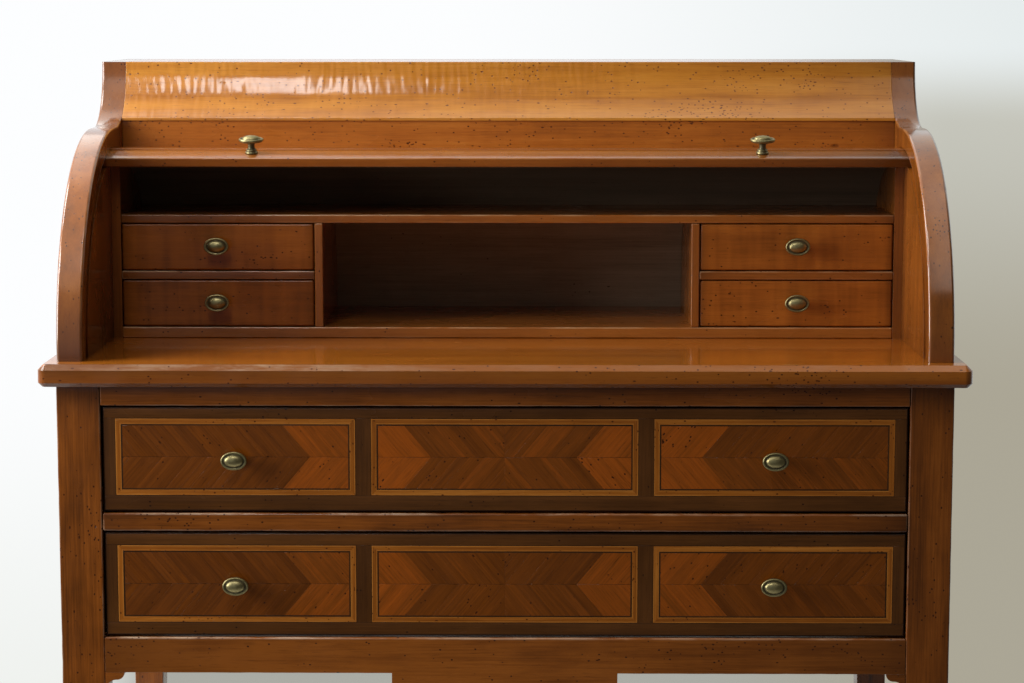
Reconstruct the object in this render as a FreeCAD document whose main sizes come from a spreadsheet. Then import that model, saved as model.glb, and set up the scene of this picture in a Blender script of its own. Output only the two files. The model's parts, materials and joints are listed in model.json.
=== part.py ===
# Cylinder desk: a two-drawer writing case, a curved upper case with a cylinder lid, and a fitted nest.
import FreeCAD, Part
import os
import re
import Sketcher

# Driving sizes in millimetres and degrees: name, value and what it measures.
SIZES = [
    ("desk_width", 950, "over the legs and the upper sides"),
    ("carcass_depth", 520, "front of the legs to the back"),
    ("writing_height", 760, "floor to the writing surface"),
    ("running_gap", 0.4, "clearance of what slides or turns"),
    ("cut_overrun", 5, "how far cutting shapes pass the wood"),
    ("board_thickness", 24, "writing board"),
    ("board_front_overhang", 20, "writing board past the legs"),
    ("board_side_overhang", 16.5, "writing board past the legs"),
    ("board_top_chamfer", 6, "upper edge of the writing board"),
    ("board_bottom_chamfer", 4.5, "lower edge of the writing board"),
    ("board_corner_radius", 9, "corners of the writing board, seen from above"),
    ("leg_width", 46.5, "front legs, seen from the front"),
    ("leg_depth", 46.5, "front legs and the flat rails between them"),
    ("rear_leg_width", 38, "rear legs, both ways"),
    ("leg_straight_length", 372, "upper end of a leg to the start of its taper"),
    ("foot_width", 28, "foot of every leg, both ways"),
    ("side_panel_thickness", 14, "lower side panels"),
    ("panel_recess", 4, "lower panels behind the faces of the legs"),
    ("back_panel_thickness", 10, "lower and upper back"),
    ("top_rail_height", 22.4, "rail under the writing board"),
    ("mid_rail_height", 20, "rail between the large drawers"),
    ("bottom_rail_height", 38.9, "rail under the large drawers"),
    ("bottom_rail_thickness", 22, "front to back"),
    ("apron_width", 242, "drop in the middle of the bottom rail"),
    ("apron_drop", 40, "how far the drop hangs below the rail"),
    ("apron_corner_radius", 26, "hollow corners of the drop"),
    ("bracket_width", 20.5, "corner bracket beside a front leg"),
    ("bracket_height", 20, "corner bracket below the rail"),
    ("bracket_step", 8, "rounded step at the toe of a bracket"),
    ("bracket_thickness", 20, "front to back"),
    ("runner_width", 50, "runners and kickers, from the side panel inwards"),
    ("runner_thickness", 20, "drawer runners"),
    ("guide_height", 24, "guide strips beside the drawers"),
    ("upper_side_thickness", 28, "curved upper sides"),
    ("upper_side_setback", 6, "upper sides behind the front of the legs"),
    ("upper_side_reveal", 22, "upper sides past the lid"),
    ("upper_side_arris", 3, "rounded front arris of the upper sides"),
    ("fall_axis_height", 7, "axis of the lid above the writing surface"),
    ("cove_flat", 19, "flat between the curve and the cove"),
    ("cove_radius", 74, "cove below the crown"),
    ("cove_rise", 73, "height of the cove"),
    ("cove_lip_inset", 36, "start of the cove back to its lip"),
    ("cove_lip_height", 3.4, "upright face of the lip"),
    ("cove_foot_width", 18, "foot of the cove moulding on the fascia"),
    ("cove_head_width", 18, "head of the cove moulding at the crown"),
    ("fascia_thickness", 16, "rail between the cove and the lid"),
    ("fascia_recess", 2, "fascia behind the lip of the cove"),
    ("crown_thickness", 18, "crown board"),
    ("lid_rear_room", 66, "lid to the upper back"),
    ("lid_thickness", 11, "lid panel and front rail"),
    ("lid_front_angle", 106.8, "front edge of the open lid, from straight back"),
    ("lid_rear_drop_angle", 3, "rear edge of the open lid, below straight back"),
    ("lid_rail_angle", 12, "part of the lid that is its front rail"),
    ("lid_groove_depth", 5, "groove in each upper side"),
    ("trough_margin", 1.5, "room around the lid's rear edge in the board"),
    ("nest_front_lead", 26.6, "front of the nest before the axis of the lid"),
    ("nest_lid_gap", 3, "nest inside the lid"),
    ("nest_side_thickness", 10, "nest sides"),
    ("nest_back_thickness", 5, "curved nest back"),
    ("nest_base_thickness", 12.5, "nest base"),
    ("nest_shelf_thickness", 9.8, "nest shelves"),
    ("nest_drawer_height", 54.2, "openings of the small drawers"),
    ("nest_centre_width", 416.8, "opening between the dividers"),
    ("nest_divider_thickness", 9.6, "nest dividers"),
    ("drawer_opening_height", 115.2, "openings of the large drawers"),
    ("drawer_gap", 1.5, "around the large drawer fronts"),
    ("drawer_recess", 2.5, "large drawer fronts behind the rails"),
    ("drawer_rear_room", 63.5, "large drawers to the lower back"),
    ("drawer_front_thickness", 20, "large drawer fronts"),
    ("drawer_side_thickness", 12, "large drawer sides and backs"),
    ("dovetail_length", 13, "tails of the large drawer sides let into the fronts"),
    ("dovetail_neck", 14, "tails where they leave the sides"),
    ("dovetail_flare", 2.2, "spread of a tail on each edge"),
    ("drawer_bottom_thickness", 6, "large drawer bottoms"),
    ("drawer_bottom_height", 9, "large drawer bottoms above the runners"),
    ("drawer_groove_depth", 5, "grooves for the large drawer bottoms"),
    ("drawer_side_drop", 12, "large drawer sides below the opening's head"),
    ("small_drawer_gap", 0.9, "around the small drawer fronts"),
    ("small_drawer_recess", 1.2, "small drawer fronts behind the nest"),
    ("small_drawer_room", 14, "small drawers to the curved nest back"),
    ("small_front_thickness", 12, "small drawer fronts"),
    ("small_wall_thickness", 7, "small drawer sides and backs"),
    ("small_bottom_thickness", 4, "small drawer bottoms"),
    ("small_side_drop", 6, "small drawer sides below the opening's head"),
    ("knob_width", 28, "oval head, the long way"),
    ("knob_height", 20, "oval head, the short way"),
    ("knob_projection", 20.5, "knob from its face to its crown"),
    ("knob_head_thickness", 7, "oval head, back to front"),
    ("knob_dome_width", 19, "raised middle of the head, the long way"),
    ("knob_dome_height", 12.5, "raised middle of the head, the short way"),
    ("knob_dome_rise", 5, "raised middle above the widest part of the head"),
    ("knob_neck_width", 6.6, "round neck under the head"),
    ("knob_neck_foot_width", 9.5, "round neck at the collar"),
    ("knob_collar_width", 13.5, "round collar on the face"),
    ("knob_collar_thickness", 2.6, "round collar on the face"),
    ("drawer_knob_spread", 286, "knobs of a large drawer and the lid, from the middle"),
    ("drawer_knob_height", 58.5, "knobs of a large drawer above the opening's foot"),
    ("small_knob_rise", 1.8, "small knobs above the middle of the opening"),
    ("lid_knob_angle", 5.1, "lid knobs behind the front edge"),
]

doc = FreeCAD.newDocument("cylinder_desk")
sheet = doc.addObject("Spreadsheet::Sheet", "sizes")
for row, (alias, value, note) in enumerate(SIZES, start=1):
    sheet.set(f"A{row}", alias)
    sheet.set(f"B{row}", str(value))
    sheet.set(f"C{row}", note)
    sheet.setAlias(f"B{row}", alias)
doc.recompute()

# Size names are words joined by underscores, which no function of an expression is.
SIZE_NAME = re.compile(r"[a-z]+(?:_[a-z]+)+")
X_AXIS = FreeCAD.Vector(1, 0, 0)
Z_AXIS = FreeCAD.Vector(0, 0, 1)
TAILS_PER_SIDE = 3
nodes = []


# Places that several pieces share, as expressions of the sizes.
HALF_WIDTH = "desk_width / 2"
FRONT = "(board_front_overhang - carcass_depth) / 2"
BACK = "(board_front_overhang + carcass_depth) / 2"
BOARD_FOOT = "writing_height - board_thickness"
REVEALS = "(upper_side_setback + upper_side_reveal + lid_rear_room + back_panel_thickness)"
LID_OUTER = f"(carcass_depth - {REVEALS}) / 2"
AXIS_DEPTH = f"{FRONT} + upper_side_setback + upper_side_reveal + {LID_OUTER}"
AXIS_HEIGHT = "writing_height + fall_axis_height"
SHOULDER = f"{AXIS_HEIGHT} + {LID_OUTER} + upper_side_reveal"
CROWN = f"{SHOULDER} + cove_rise"
COVE_CENTRE = (f"{AXIS_DEPTH} + cove_flat", f"{SHOULDER} + cove_radius")
UPPER_INNER = f"{HALF_WIDTH} - upper_side_thickness"
LEG_INNER = f"{HALF_WIDTH} - leg_width"
PANEL_INNER = f"{HALF_WIDTH} - panel_recess - side_panel_thickness"
RAILS_BACK = f"{FRONT} + leg_depth"
REAR_LEGS_FRONT = f"{BACK} - rear_leg_width"
BACK_FACE = f"{BACK} - back_panel_thickness"
UPPER_HEAD = f"{BOARD_FOOT} - top_rail_height"
UPPER_FOOT = f"{UPPER_HEAD} - drawer_opening_height"
LOWER_HEAD = f"{UPPER_FOOT} - mid_rail_height"
LOWER_FOOT = f"{LOWER_HEAD} - drawer_opening_height"
CASE_FOOT = f"{LOWER_FOOT} - bottom_rail_height"
LID_INNER = f"{LID_OUTER} - lid_thickness"
LID_END = f"{UPPER_INNER} + lid_groove_depth - running_gap"
NEST_FRONT = f"{AXIS_DEPTH} - nest_front_lead"
NEST_RADIUS = f"{LID_INNER} - nest_lid_gap"
NEST_HOLLOW = f"{NEST_RADIUS} - nest_back_thickness - running_gap"
NEST_INNER = f"{UPPER_INNER} - nest_side_thickness"
NEST_FLOOR = "writing_height + nest_base_thickness"
NEST_MIDDLE = f"{NEST_FLOOR} + nest_drawer_height"
NEST_TOP = f"{NEST_MIDDLE} + nest_shelf_thickness + nest_drawer_height"
CENTRE_EDGE = "nest_centre_width / 2"
DIVIDER_EDGE = f"{CENTRE_EDGE} + nest_divider_thickness"


def in_sheet(text):
    """Point every size name in an expression at the sheet."""
    return SIZE_NAME.sub(lambda found: "sizes." + found.group(0), text)


def number(text):
    """The present value of an expression."""
    return sheet.evalExpression(text)


def bind(made, name, text):
    made.setExpression(name, in_sheet(text))


def across(reach):
    """Limits the same distance to both sides of the middle."""
    return f"-({reach})", reach


def keep(made):
    """Count an object as a finished sub-part, named by its label."""
    nodes.append(made)
    return made


def board(name, x, y, z):
    """A board between two limits along each axis."""
    made = doc.addObject("Part::Box", name)
    for size, axis, (low, high) in zip(("Length", "Width", "Height"), "xyz", (x, y, z)):
        bind(made, size, f"({high}) - ({low})")
        bind(made, "Placement.Base." + axis, low)
    return made


def drum(name, radius, x, start="0", span="360"):
    """A cylinder, or a sector of one, about the axis of the lid; angles rise from straight back."""
    made = doc.addObject("Part::Cylinder", name)
    bind(made, "Radius", radius)
    bind(made, "Height", f"({x[1]}) - ({x[0]})")
    bind(made, "Angle", span)
    centre = f"vector({x[0]}; {AXIS_DEPTH}; {AXIS_HEIGHT})"
    turn = f"rotation(vector(1; 1; 1); 120) * rotation(vector(0; 0; 1); {start})"
    bind(made, "Placement", f"placement({centre}; {turn})")
    return made


def cut(name, base, *tools):
    """Take each tool out of the base, the last cut carrying the name."""
    for step, tool in enumerate(tools, start=1):
        made = doc.addObject("Part::Cut", name if step == len(tools) else f"{name}_cut_{step}")
        made.Base = base
        made.Tool = tool
        base = made
    return made


def common(name, base, tool):
    made = doc.addObject("Part::Common", name)
    made.Base = base
    made.Tool = tool
    return made


def fuse(name, members):
    made = doc.addObject("Part::MultiFuse", name)
    made.Shapes = members
    made.Refine = True
    return made


def mirrored(name, source):
    """The same piece on the other side of the middle."""
    made = doc.addObject("Part::Mirroring", name)
    made.Source = source
    made.Normal = X_AXIS
    return made


def group(name, members):
    """Separate solids that share one node."""
    made = doc.addObject("Part::Compound", name)
    made.Links = members
    return made


def pair(name, right):
    return group(name, [right, mirrored(f"{name}_left", right)])


def sketch_on(body, name, role):
    sketch = body.newObject("Sketcher::SketchObject", name)
    plane = next(item for item in body.Origin.OriginFeatures if item.Role == role)
    sketch.AttachmentSupport = [(plane, "")]
    sketch.MapMode = "FlatFace"
    return sketch


def corner(right, up, centre=None, clockwise=False, free=None):
    """A corner of an outline; one with a centre is reached by an arc, which settles its free side."""
    return {"right": right, "up": up, "centre": centre, "clockwise": clockwise, "free": free}


def outline(sketch, corners):
    """Draw a closed outline through corners and tie each of them to the sheet."""
    spots = [FreeCAD.Vector(number(spot["right"]), number(spot["up"]), 0) for spot in corners]
    ends = []
    for index, spot in enumerate(corners):
        start, end = spots[index - 1], spots[index]
        if spot["centre"] is None:
            sketch.addGeometry(Part.LineSegment(start, end))
            ends.append((1, 2))
            continue
        centre = FreeCAD.Vector(number(spot["centre"][0]), number(spot["centre"][1]), 0)
        circle = Part.Circle(centre, Z_AXIS, start.distanceToPoint(centre))
        first, last = (end, start) if spot["clockwise"] else (start, end)
        sketch.addGeometry(Part.ArcOfCircle(circle, circle.parameter(first), circle.parameter(last)))
        ends.append((2, 1) if spot["clockwise"] else (1, 2))
    for index in range(len(corners)):
        after = (index + 1) % len(corners)
        sketch.addConstraint(
            Sketcher.Constraint("Coincident", index, ends[index][1], after, ends[after][0])
        )
    for index, spot in enumerate(corners):
        for kind, side in (("DistanceX", "right"), ("DistanceY", "up")):
            if spot["free"] != side:
                tie(sketch, kind, index, ends[index][1], spot[side])
        if spot["centre"] is not None:
            tie(sketch, "DistanceX", index, 3, spot["centre"][0])
            tie(sketch, "DistanceY", index, 3, spot["centre"][1])


def tie(sketch, kind, geometry, point, text):
    index = sketch.addConstraint(Sketcher.Constraint(kind, geometry, point, number(text)))
    bind(sketch, f"Constraints[{index}]", text)


def pad(body, name, sketch, length):
    made = body.newObject("PartDesign::Pad", name)
    made.Profile = sketch
    bind(made, "Length", length)
    return made


def edges_where(feature, wanted):
    """Names of the edges of a feature that pass a test."""
    doc.recompute()
    return [f"Edge{at}" for at, edge in enumerate(feature.Shape.Edges, start=1) if wanted(edge)]


def dress(body, kind, name, base, picked, size_name, size):
    """Round or chamfer picked edges or faces of a body's last feature."""
    made = body.newObject(kind, name)
    made.Base = (base, picked)
    bind(made, size_name, size)
    doc.recompute()
    return made


def profile(name, role, corners, length, axis, place):
    """A body whose outline is drawn on an origin plane and padded along its normal."""
    body = doc.addObject("PartDesign::Body", name)
    sketch = sketch_on(body, f"{name}_outline", role)
    outline(sketch, corners)
    pad(body, f"{name}_pad", sketch, length)
    bind(body, "Placement.Base." + axis, place)
    return body


def leg(name, width, depth, front):
    """A right-hand leg: square above, its two inner faces tapered below."""
    straight = board(
        f"{name}_stile",
        (f"{HALF_WIDTH} - {width}", HALF_WIDTH),
        (front, f"{front} + {depth}"),
        (f"{BOARD_FOOT} - leg_straight_length", BOARD_FOOT),
    )
    rear = front != FRONT
    taper = doc.addObject("Part::Wedge", f"{name}_taper")
    limits = {
        "Xmin": f"{HALF_WIDTH} - {width}",
        "Xmax": HALF_WIDTH,
        "X2min": f"{HALF_WIDTH} - foot_width",
        "X2max": HALF_WIDTH,
        "Zmin": front,
        "Zmax": f"{front} + {depth}",
        "Z2min": f"{front} + {depth} - foot_width" if rear else front,
        "Z2max": f"{front} + {depth}" if rear else f"{front} + foot_width",
        "Ymin": f"-({BOARD_FOOT} - leg_straight_length)",
        "Ymax": "0",
    }
    for limit, text in limits.items():
        bind(taper, limit, text)
    taper.Placement = FreeCAD.Placement(FreeCAD.Vector(), FreeCAD.Rotation(X_AXIS, -90))
    return keep(fuse(name, [straight, taper]))


def legs():
    front = leg("leg_front_right", "leg_width", "leg_depth", FRONT)
    rear = leg("leg_rear_right", "rear_leg_width", "rear_leg_width", REAR_LEGS_FRONT)
    keep(mirrored("leg_front_left", front))
    keep(mirrored("leg_rear_left", rear))


def lower_panels():
    right = keep(board(
        "side_panel_right",
        (PANEL_INNER, f"{HALF_WIDTH} - panel_recess"),
        (RAILS_BACK, REAR_LEGS_FRONT),
        (CASE_FOOT, BOARD_FOOT),
    ))
    keep(mirrored("side_panel_left", right))
    keep(board(
        "back_panel_lower",
        across(f"{HALF_WIDTH} - rear_leg_width"),
        (f"{BACK_FACE} - panel_recess", f"{BACK} - panel_recess"),
        (CASE_FOOT, BOARD_FOOT),
    ))


def rails():
    keep(board("top_rail", across(LEG_INNER), (FRONT, RAILS_BACK), (UPPER_HEAD, BOARD_FOOT)))
    keep(board("mid_rail", across(LEG_INNER), (FRONT, RAILS_BACK), (LOWER_HEAD, UPPER_FOOT)))


def bottom_rail():
    """The rail under the drawers, with a drop whose lower corners are hollowed."""
    drop_foot = f"{CASE_FOOT} - apron_drop"
    hollow_top = f"{drop_foot} + apron_corner_radius"
    edge = "apron_width / 2"
    inset = f"{edge} - apron_corner_radius"
    corners = [
        corner(f"-({LEG_INNER})", CASE_FOOT),
        corner(f"-({edge})", CASE_FOOT),
        corner(f"-({edge})", hollow_top),
        corner(f"-({inset})", drop_foot, (f"-({edge})", drop_foot), True, "right"),
        corner(inset, drop_foot),
        corner(edge, hollow_top, (edge, drop_foot), True, "up"),
        corner(edge, CASE_FOOT),
        corner(LEG_INNER, CASE_FOOT),
        corner(LEG_INNER, LOWER_FOOT),
        corner(f"-({LEG_INNER})", LOWER_FOOT),
    ]
    keep(profile(
        "bottom_rail", "XZ_Plane", corners, "bottom_rail_thickness", "y", f"{FRONT} + bottom_rail_thickness",
    ))


def corner_brackets():
    """Small brackets under the rail, with a rounded toe, a step and a hollow down to the leg."""
    toe = f"{LEG_INNER} - bracket_width"
    step = f"{CASE_FOOT} - bracket_step"
    foot = f"{CASE_FOOT} - bracket_height"
    hollow = f"{LEG_INNER} - (bracket_height - bracket_step)"
    corners = [
        corner(toe, CASE_FOOT),
        corner(f"{toe} + bracket_step", step, (f"{toe} + bracket_step", CASE_FOOT), False, "up"),
        corner(hollow, step),
        corner(LEG_INNER, foot, (hollow, foot), True, "right"),
        corner(LEG_INNER, CASE_FOOT),
    ]
    right = profile(
        "corner_bracket", "XZ_Plane", corners, "bracket_thickness", "y", f"{FRONT} + bracket_thickness",
    )
    keep(pair("corner_brackets", right))


def drawer_supports():
    """Runners under the large drawers, guides beside them and kickers above the upper one."""
    between = (RAILS_BACK, REAR_LEGS_FRONT)
    reach = (f"{PANEL_INNER} - runner_width", PANEL_INNER)
    runners = []
    guides = []
    for level, foot in (("upper", UPPER_FOOT), ("lower", LOWER_FOOT)):
        runner = board(f"runner_{level}", reach, between, (f"{foot} - runner_thickness", foot))
        guide = board(f"guide_{level}", (LEG_INNER, PANEL_INNER), between, (foot, f"{foot} + guide_height"))
        runners += [runner, mirrored(f"runner_{level}_left", runner)]
        guides += [guide, mirrored(f"guide_{level}_left", guide)]
    keep(group("drawer_runners", runners))
    keep(group("drawer_guides", guides))
    keep(pair("drawer_kickers", board("kicker", reach, between, (UPPER_HEAD, BOARD_FOOT))))


def writing_board():
    """The chamfered board, with a trough that takes the rear edge of the open lid."""
    body = doc.addObject("PartDesign::Body", "writing_board_blank")
    sketch = sketch_on(body, "writing_board_outline", "XY_Plane")
    edge = f"{HALF_WIDTH} + board_side_overhang"
    front = f"{FRONT} - board_front_overhang"
    outline(sketch, [
        corner(f"-({edge})", front),
        corner(edge, front),
        corner(edge, BACK),
        corner(f"-({edge})", BACK),
    ])
    slab = pad(body, "writing_board_pad", sketch, "board_thickness")
    bind(body, "Placement.Base.z", BOARD_FOOT)
    upright = edges_where(slab, lambda edge: edge.BoundBox.ZLength > edge.BoundBox.DiagonalLength / 2)
    base = dress(body, "PartDesign::Fillet", "writing_board_corners", slab, upright, "Radius", "board_corner_radius")
    for name, size, level in (("top", "board_top_chamfer", max), ("bottom", "board_bottom_chamfer", min)):
        faces = base.Shape.Faces
        face = level(range(len(faces)), key=lambda at: faces[at].CenterOfMass.z)
        rim = [f"Face{face + 1}"]
        base = dress(body, "PartDesign::Chamfer", f"writing_board_{name}", base, rim, "Size", size)
    drop = f"{LID_OUTER} * sin(lid_rear_drop_angle) - fall_axis_height + running_gap"
    trough = board(
        "writing_board_trough",
        across(f"{UPPER_INNER} + lid_groove_depth"),
        (f"{AXIS_DEPTH} + {LID_INNER} - trough_margin", f"{AXIS_DEPTH} + {LID_OUTER} + trough_margin"),
        (f"writing_height - ({drop})", "writing_height + cut_overrun"),
    )
    keep(cut("writing_board", body, trough))


def upper_sides():
    """The curved sides, each with a groove that the end of the lid runs in."""
    front = f"{FRONT} + upper_side_setback"
    corners = [
        corner(front, "writing_height"),
        corner(front, AXIS_HEIGHT),
        corner(AXIS_DEPTH, SHOULDER, (AXIS_DEPTH, AXIS_HEIGHT), True, "up"),
        corner(COVE_CENTRE[0], SHOULDER),
        corner(f"{COVE_CENTRE[0]} + cove_radius", CROWN, COVE_CENTRE, False, "right"),
        corner(BACK, CROWN),
        corner(BACK, "writing_height"),
    ]
    blank = profile("upper_side_blank", "YZ_Plane", corners, "upper_side_thickness", "x", UPPER_INNER)
    crown, back = number(CROWN), number(BACK)

    def on_front(edge):
        """An edge along the curved front, on either face of the side."""
        box = edge.BoundBox
        flat = box.XLength < number("upper_side_arris")
        return flat and box.YMax < back and box.ZMax > number("writing_height") and box.ZMin < crown

    front_edges = edges_where(blank.Tip, on_front)
    dress(blank, "PartDesign::Fillet", "upper_side_rounding", blank.Tip, front_edges, "Radius", "upper_side_arris")
    reach = (f"{UPPER_INNER} - cut_overrun", f"{UPPER_INNER} + lid_groove_depth")
    ring = cut(
        "lid_groove_ring",
        drum("lid_groove_outer", f"{LID_OUTER} + running_gap", reach),
        drum("lid_groove_inner", f"{LID_INNER} - running_gap", reach),
    )
    right = keep(cut("upper_side_right", blank, ring))
    keep(mirrored("upper_side_left", right))


def upper_case():
    """Fascia, cove, crown and back between the upper sides."""
    lip = f"{COVE_CENTRE[0]} + cove_lip_inset"
    lip_top = f"{COVE_CENTRE[1]} - sqrt(cove_radius ^ 2 - cove_lip_inset ^ 2)"
    foot = f"{lip_top} - cove_lip_height"
    head = f"{COVE_CENTRE[0]} + sqrt(cove_radius ^ 2 - (cove_radius - cove_rise) ^ 2)"
    back = f"{head} + cove_head_width"
    corners = [
        corner(lip, foot),
        corner(lip, lip_top),
        corner(head, CROWN, COVE_CENTRE, False, "right"),
        corner(back, CROWN),
        corner(back, f"{CROWN} - crown_thickness"),
        corner(f"{lip} + cove_foot_width", foot),
    ]
    width = f"2 * ({UPPER_INNER})"
    keep(profile("cove_moulding", "YZ_Plane", corners, width, "x", f"-({UPPER_INNER})"))
    face = f"{lip} + fascia_recess"
    blank = board(
        "fascia_blank",
        across(UPPER_INNER),
        (face, f"{face} + fascia_thickness"),
        (AXIS_HEIGHT, foot),
    )
    scribe = drum("fascia_scribe", f"{LID_OUTER} + running_gap", across(HALF_WIDTH))
    keep(cut("fascia_rail", blank, scribe))
    keep(board("crown_board", across(UPPER_INNER), (back, BACK_FACE), (f"{CROWN} - crown_thickness", CROWN)))
    keep(board("back_panel_upper", across(UPPER_INNER), (BACK_FACE, BACK), ("writing_height", CROWN)))


def nest_board(name, x, z, radius=NEST_HOLLOW):
    """A board of the nest, trimmed behind to a curve about the lid's axis."""
    blank = board(f"{name}_blank", x, (NEST_FRONT, f"{AXIS_DEPTH} + {LID_OUTER}"), z)
    return keep(common(name, blank, drum(f"{name}_curve", radius, x)))


def nest():
    """Pigeonholes inside the lid: sides, base, shelves, dividers and one curved back."""
    side = nest_board(
        "nest_side_right", (NEST_INNER, UPPER_INNER), ("writing_height", CROWN), NEST_RADIUS,
    )
    keep(mirrored("nest_side_left", side))
    nest_board("nest_base", across(NEST_INNER), ("writing_height", NEST_FLOOR))
    nest_board("nest_shelf", across(NEST_INNER), (NEST_TOP, f"{NEST_TOP} + nest_shelf_thickness"))
    divider = nest_board("nest_divider_right", (CENTRE_EDGE, DIVIDER_EDGE), (NEST_FLOOR, NEST_TOP))
    keep(mirrored("nest_divider_left", divider))
    shelf = nest_board(
        "drawer_shelf_right", (DIVIDER_EDGE, NEST_INNER), (NEST_MIDDLE, f"{NEST_MIDDLE} + nest_shelf_thickness"),
    )
    keep(mirrored("drawer_shelf_left", shelf))
    sheet_bend = cut(
        "nest_back_bend",
        drum("nest_back_outer", NEST_RADIUS, across(NEST_INNER)),
        drum("nest_back_inner", f"{NEST_HOLLOW} + running_gap", across(NEST_INNER)),
    )
    room = board(
        "nest_back_room",
        across(NEST_INNER),
        (NEST_FRONT, f"{AXIS_DEPTH} + {LID_OUTER}"),
        ("writing_height", CROWN),
    )
    keep(common("nest_back", sheet_bend, room))


def lid_part(name, start, span):
    """A strip of the lid between two angles."""
    reach = across(LID_END)
    outer = drum(f"{name}_outer", LID_OUTER, reach, start, span)
    inner = drum(f"{name}_inner", LID_INNER, reach)
    return keep(cut(name, outer, inner))


def solid(kind, name, foot, **limits):
    """A round primitive that stands on a height of its own z axis."""
    made = doc.addObject(kind, name)
    for limit, text in limits.items():
        bind(made, limit, text)
    bind(made, "Placement.Base.z", foot)
    return made


def knob(name, place, turn):
    """An oval knob that stands along its own z: collar, flared neck, bowl-backed head and raised dome."""
    head_middle = "knob_projection - knob_dome_rise"
    collar = solid(
        "Part::Cylinder", f"{name}_collar", "0",
        Radius="knob_collar_width / 2", Height="knob_collar_thickness",
    )
    neck = solid(
        "Part::Cone", f"{name}_neck", "0",
        Radius1="knob_neck_foot_width / 2", Radius2="knob_neck_width / 2", Height=head_middle,
    )
    head = solid(
        "Part::Ellipsoid", f"{name}_head", head_middle,
        Radius1="knob_head_thickness / 2", Radius2="knob_width / 2", Radius3="knob_height / 2",
    )
    dome = solid(
        "Part::Ellipsoid", f"{name}_dome", head_middle,
        Radius1="knob_dome_rise", Radius2="knob_dome_width / 2", Radius3="knob_dome_height / 2",
    )
    made = fuse(name, [collar, neck, head, dome])
    bind(made, "Placement", f"placement(vector({'; '.join(place)}); {turn})")
    return made


FACING_FRONT = "rotation(vector(1; 0; 0); 90)"


def lid():
    """The cylinder lid: a curved panel behind a front rail that carries two knobs."""
    panel_span = "lid_front_angle + lid_rear_drop_angle - lid_rail_angle"
    lid_part("lid_panel", "-lid_rear_drop_angle", panel_span)
    lid_part("lid_front_rail", "lid_front_angle - lid_rail_angle", "lid_rail_angle")
    angle = "(lid_front_angle - lid_knob_angle)"
    place = (
        "drawer_knob_spread",
        f"{AXIS_DEPTH} + {LID_OUTER} * cos({angle})",
        f"{AXIS_HEIGHT} + {LID_OUTER} * sin({angle})",
    )
    keep(pair("lid_knobs", knob("lid_knob", place, f"rotation(vector(1; 0; 0); {angle} - 90)")))


def dovetails(name, inner, baseline, foot, top):
    """The tails of a right-hand drawer side, evenly spaced up its front edge."""
    pitch = f"({top} - ({foot})) / {TAILS_PER_SIDE}"
    middle = f"{foot} + {pitch} / 2"
    tip = f"{baseline} - dovetail_length"
    half_neck = "dovetail_neck / 2"
    half_tip = f"{half_neck} + dovetail_flare"
    tail = profile(
        name,
        "YZ_Plane",
        [
            corner(tip, f"{middle} - ({half_tip})"),
            corner(baseline, f"{middle} - {half_neck}"),
            corner(baseline, f"{middle} + {half_neck}"),
            corner(tip, f"{middle} + ({half_tip})"),
        ],
        "drawer_side_thickness",
        "x",
        inner,
    )
    first = tail.Tip
    row = tail.newObject("PartDesign::LinearPattern", f"{name}_row")
    row.Originals = [first]
    row.Direction = (first.Profile[0], ["V_Axis"])
    row.Occurrences = TAILS_PER_SIDE
    bind(row, "Length", f"{pitch} * ({TAILS_PER_SIDE} - 1)")
    tail.Tip = row
    return tail


def large_drawer(name, foot):
    """A large drawer: front, dovetailed sides, back and a bottom held in grooves."""
    head = f"{foot} + drawer_opening_height"
    edge = f"{LEG_INNER} - drawer_gap"
    face = f"{FRONT} + drawer_recess"
    front_back = f"{face} + drawer_front_thickness"
    rear = f"{BACK_FACE} - panel_recess - drawer_rear_room"
    side_inner = f"{edge} - drawer_side_thickness"
    side_top = f"{head} - drawer_side_drop"
    groove_edge = f"{side_inner} + drawer_groove_depth"
    groove_front = f"{front_back} - drawer_groove_depth"
    bottom_foot = f"{foot} + drawer_bottom_height"
    bottom_head = f"{bottom_foot} + drawer_bottom_thickness"
    groove = board(f"{name}_groove", across(groove_edge), (groove_front, rear), (bottom_foot, bottom_head))
    tails = dovetails(f"{name}_tails", side_inner, front_back, foot, side_top)
    blank = board(
        f"{name}_front_blank",
        across(edge),
        (face, front_back),
        (f"{foot} + drawer_gap", f"{head} - drawer_gap"),
    )
    keep(cut(f"{name}_front", blank, tails, mirrored(f"{name}_tails_left", tails), groove))
    side_board = board(f"{name}_side_board", (side_inner, edge), (front_back, rear), (foot, side_top))
    side_blank = fuse(f"{name}_side_blank", [side_board, tails])
    right = keep(cut(f"{name}_side_right", side_blank, groove))
    keep(mirrored(f"{name}_side_left", right))
    keep(board(
        f"{name}_back",
        across(side_inner),
        (f"{rear} - drawer_side_thickness", rear),
        (bottom_head, side_top),
    ))
    keep(board(f"{name}_bottom", across(groove_edge), (groove_front, rear), (bottom_foot, bottom_head)))
    place = ("drawer_knob_spread", face, f"{foot} + drawer_knob_height")
    keep(pair(f"{name}_knobs", knob(f"{name}_knob", place, FACING_FRONT)))


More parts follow.
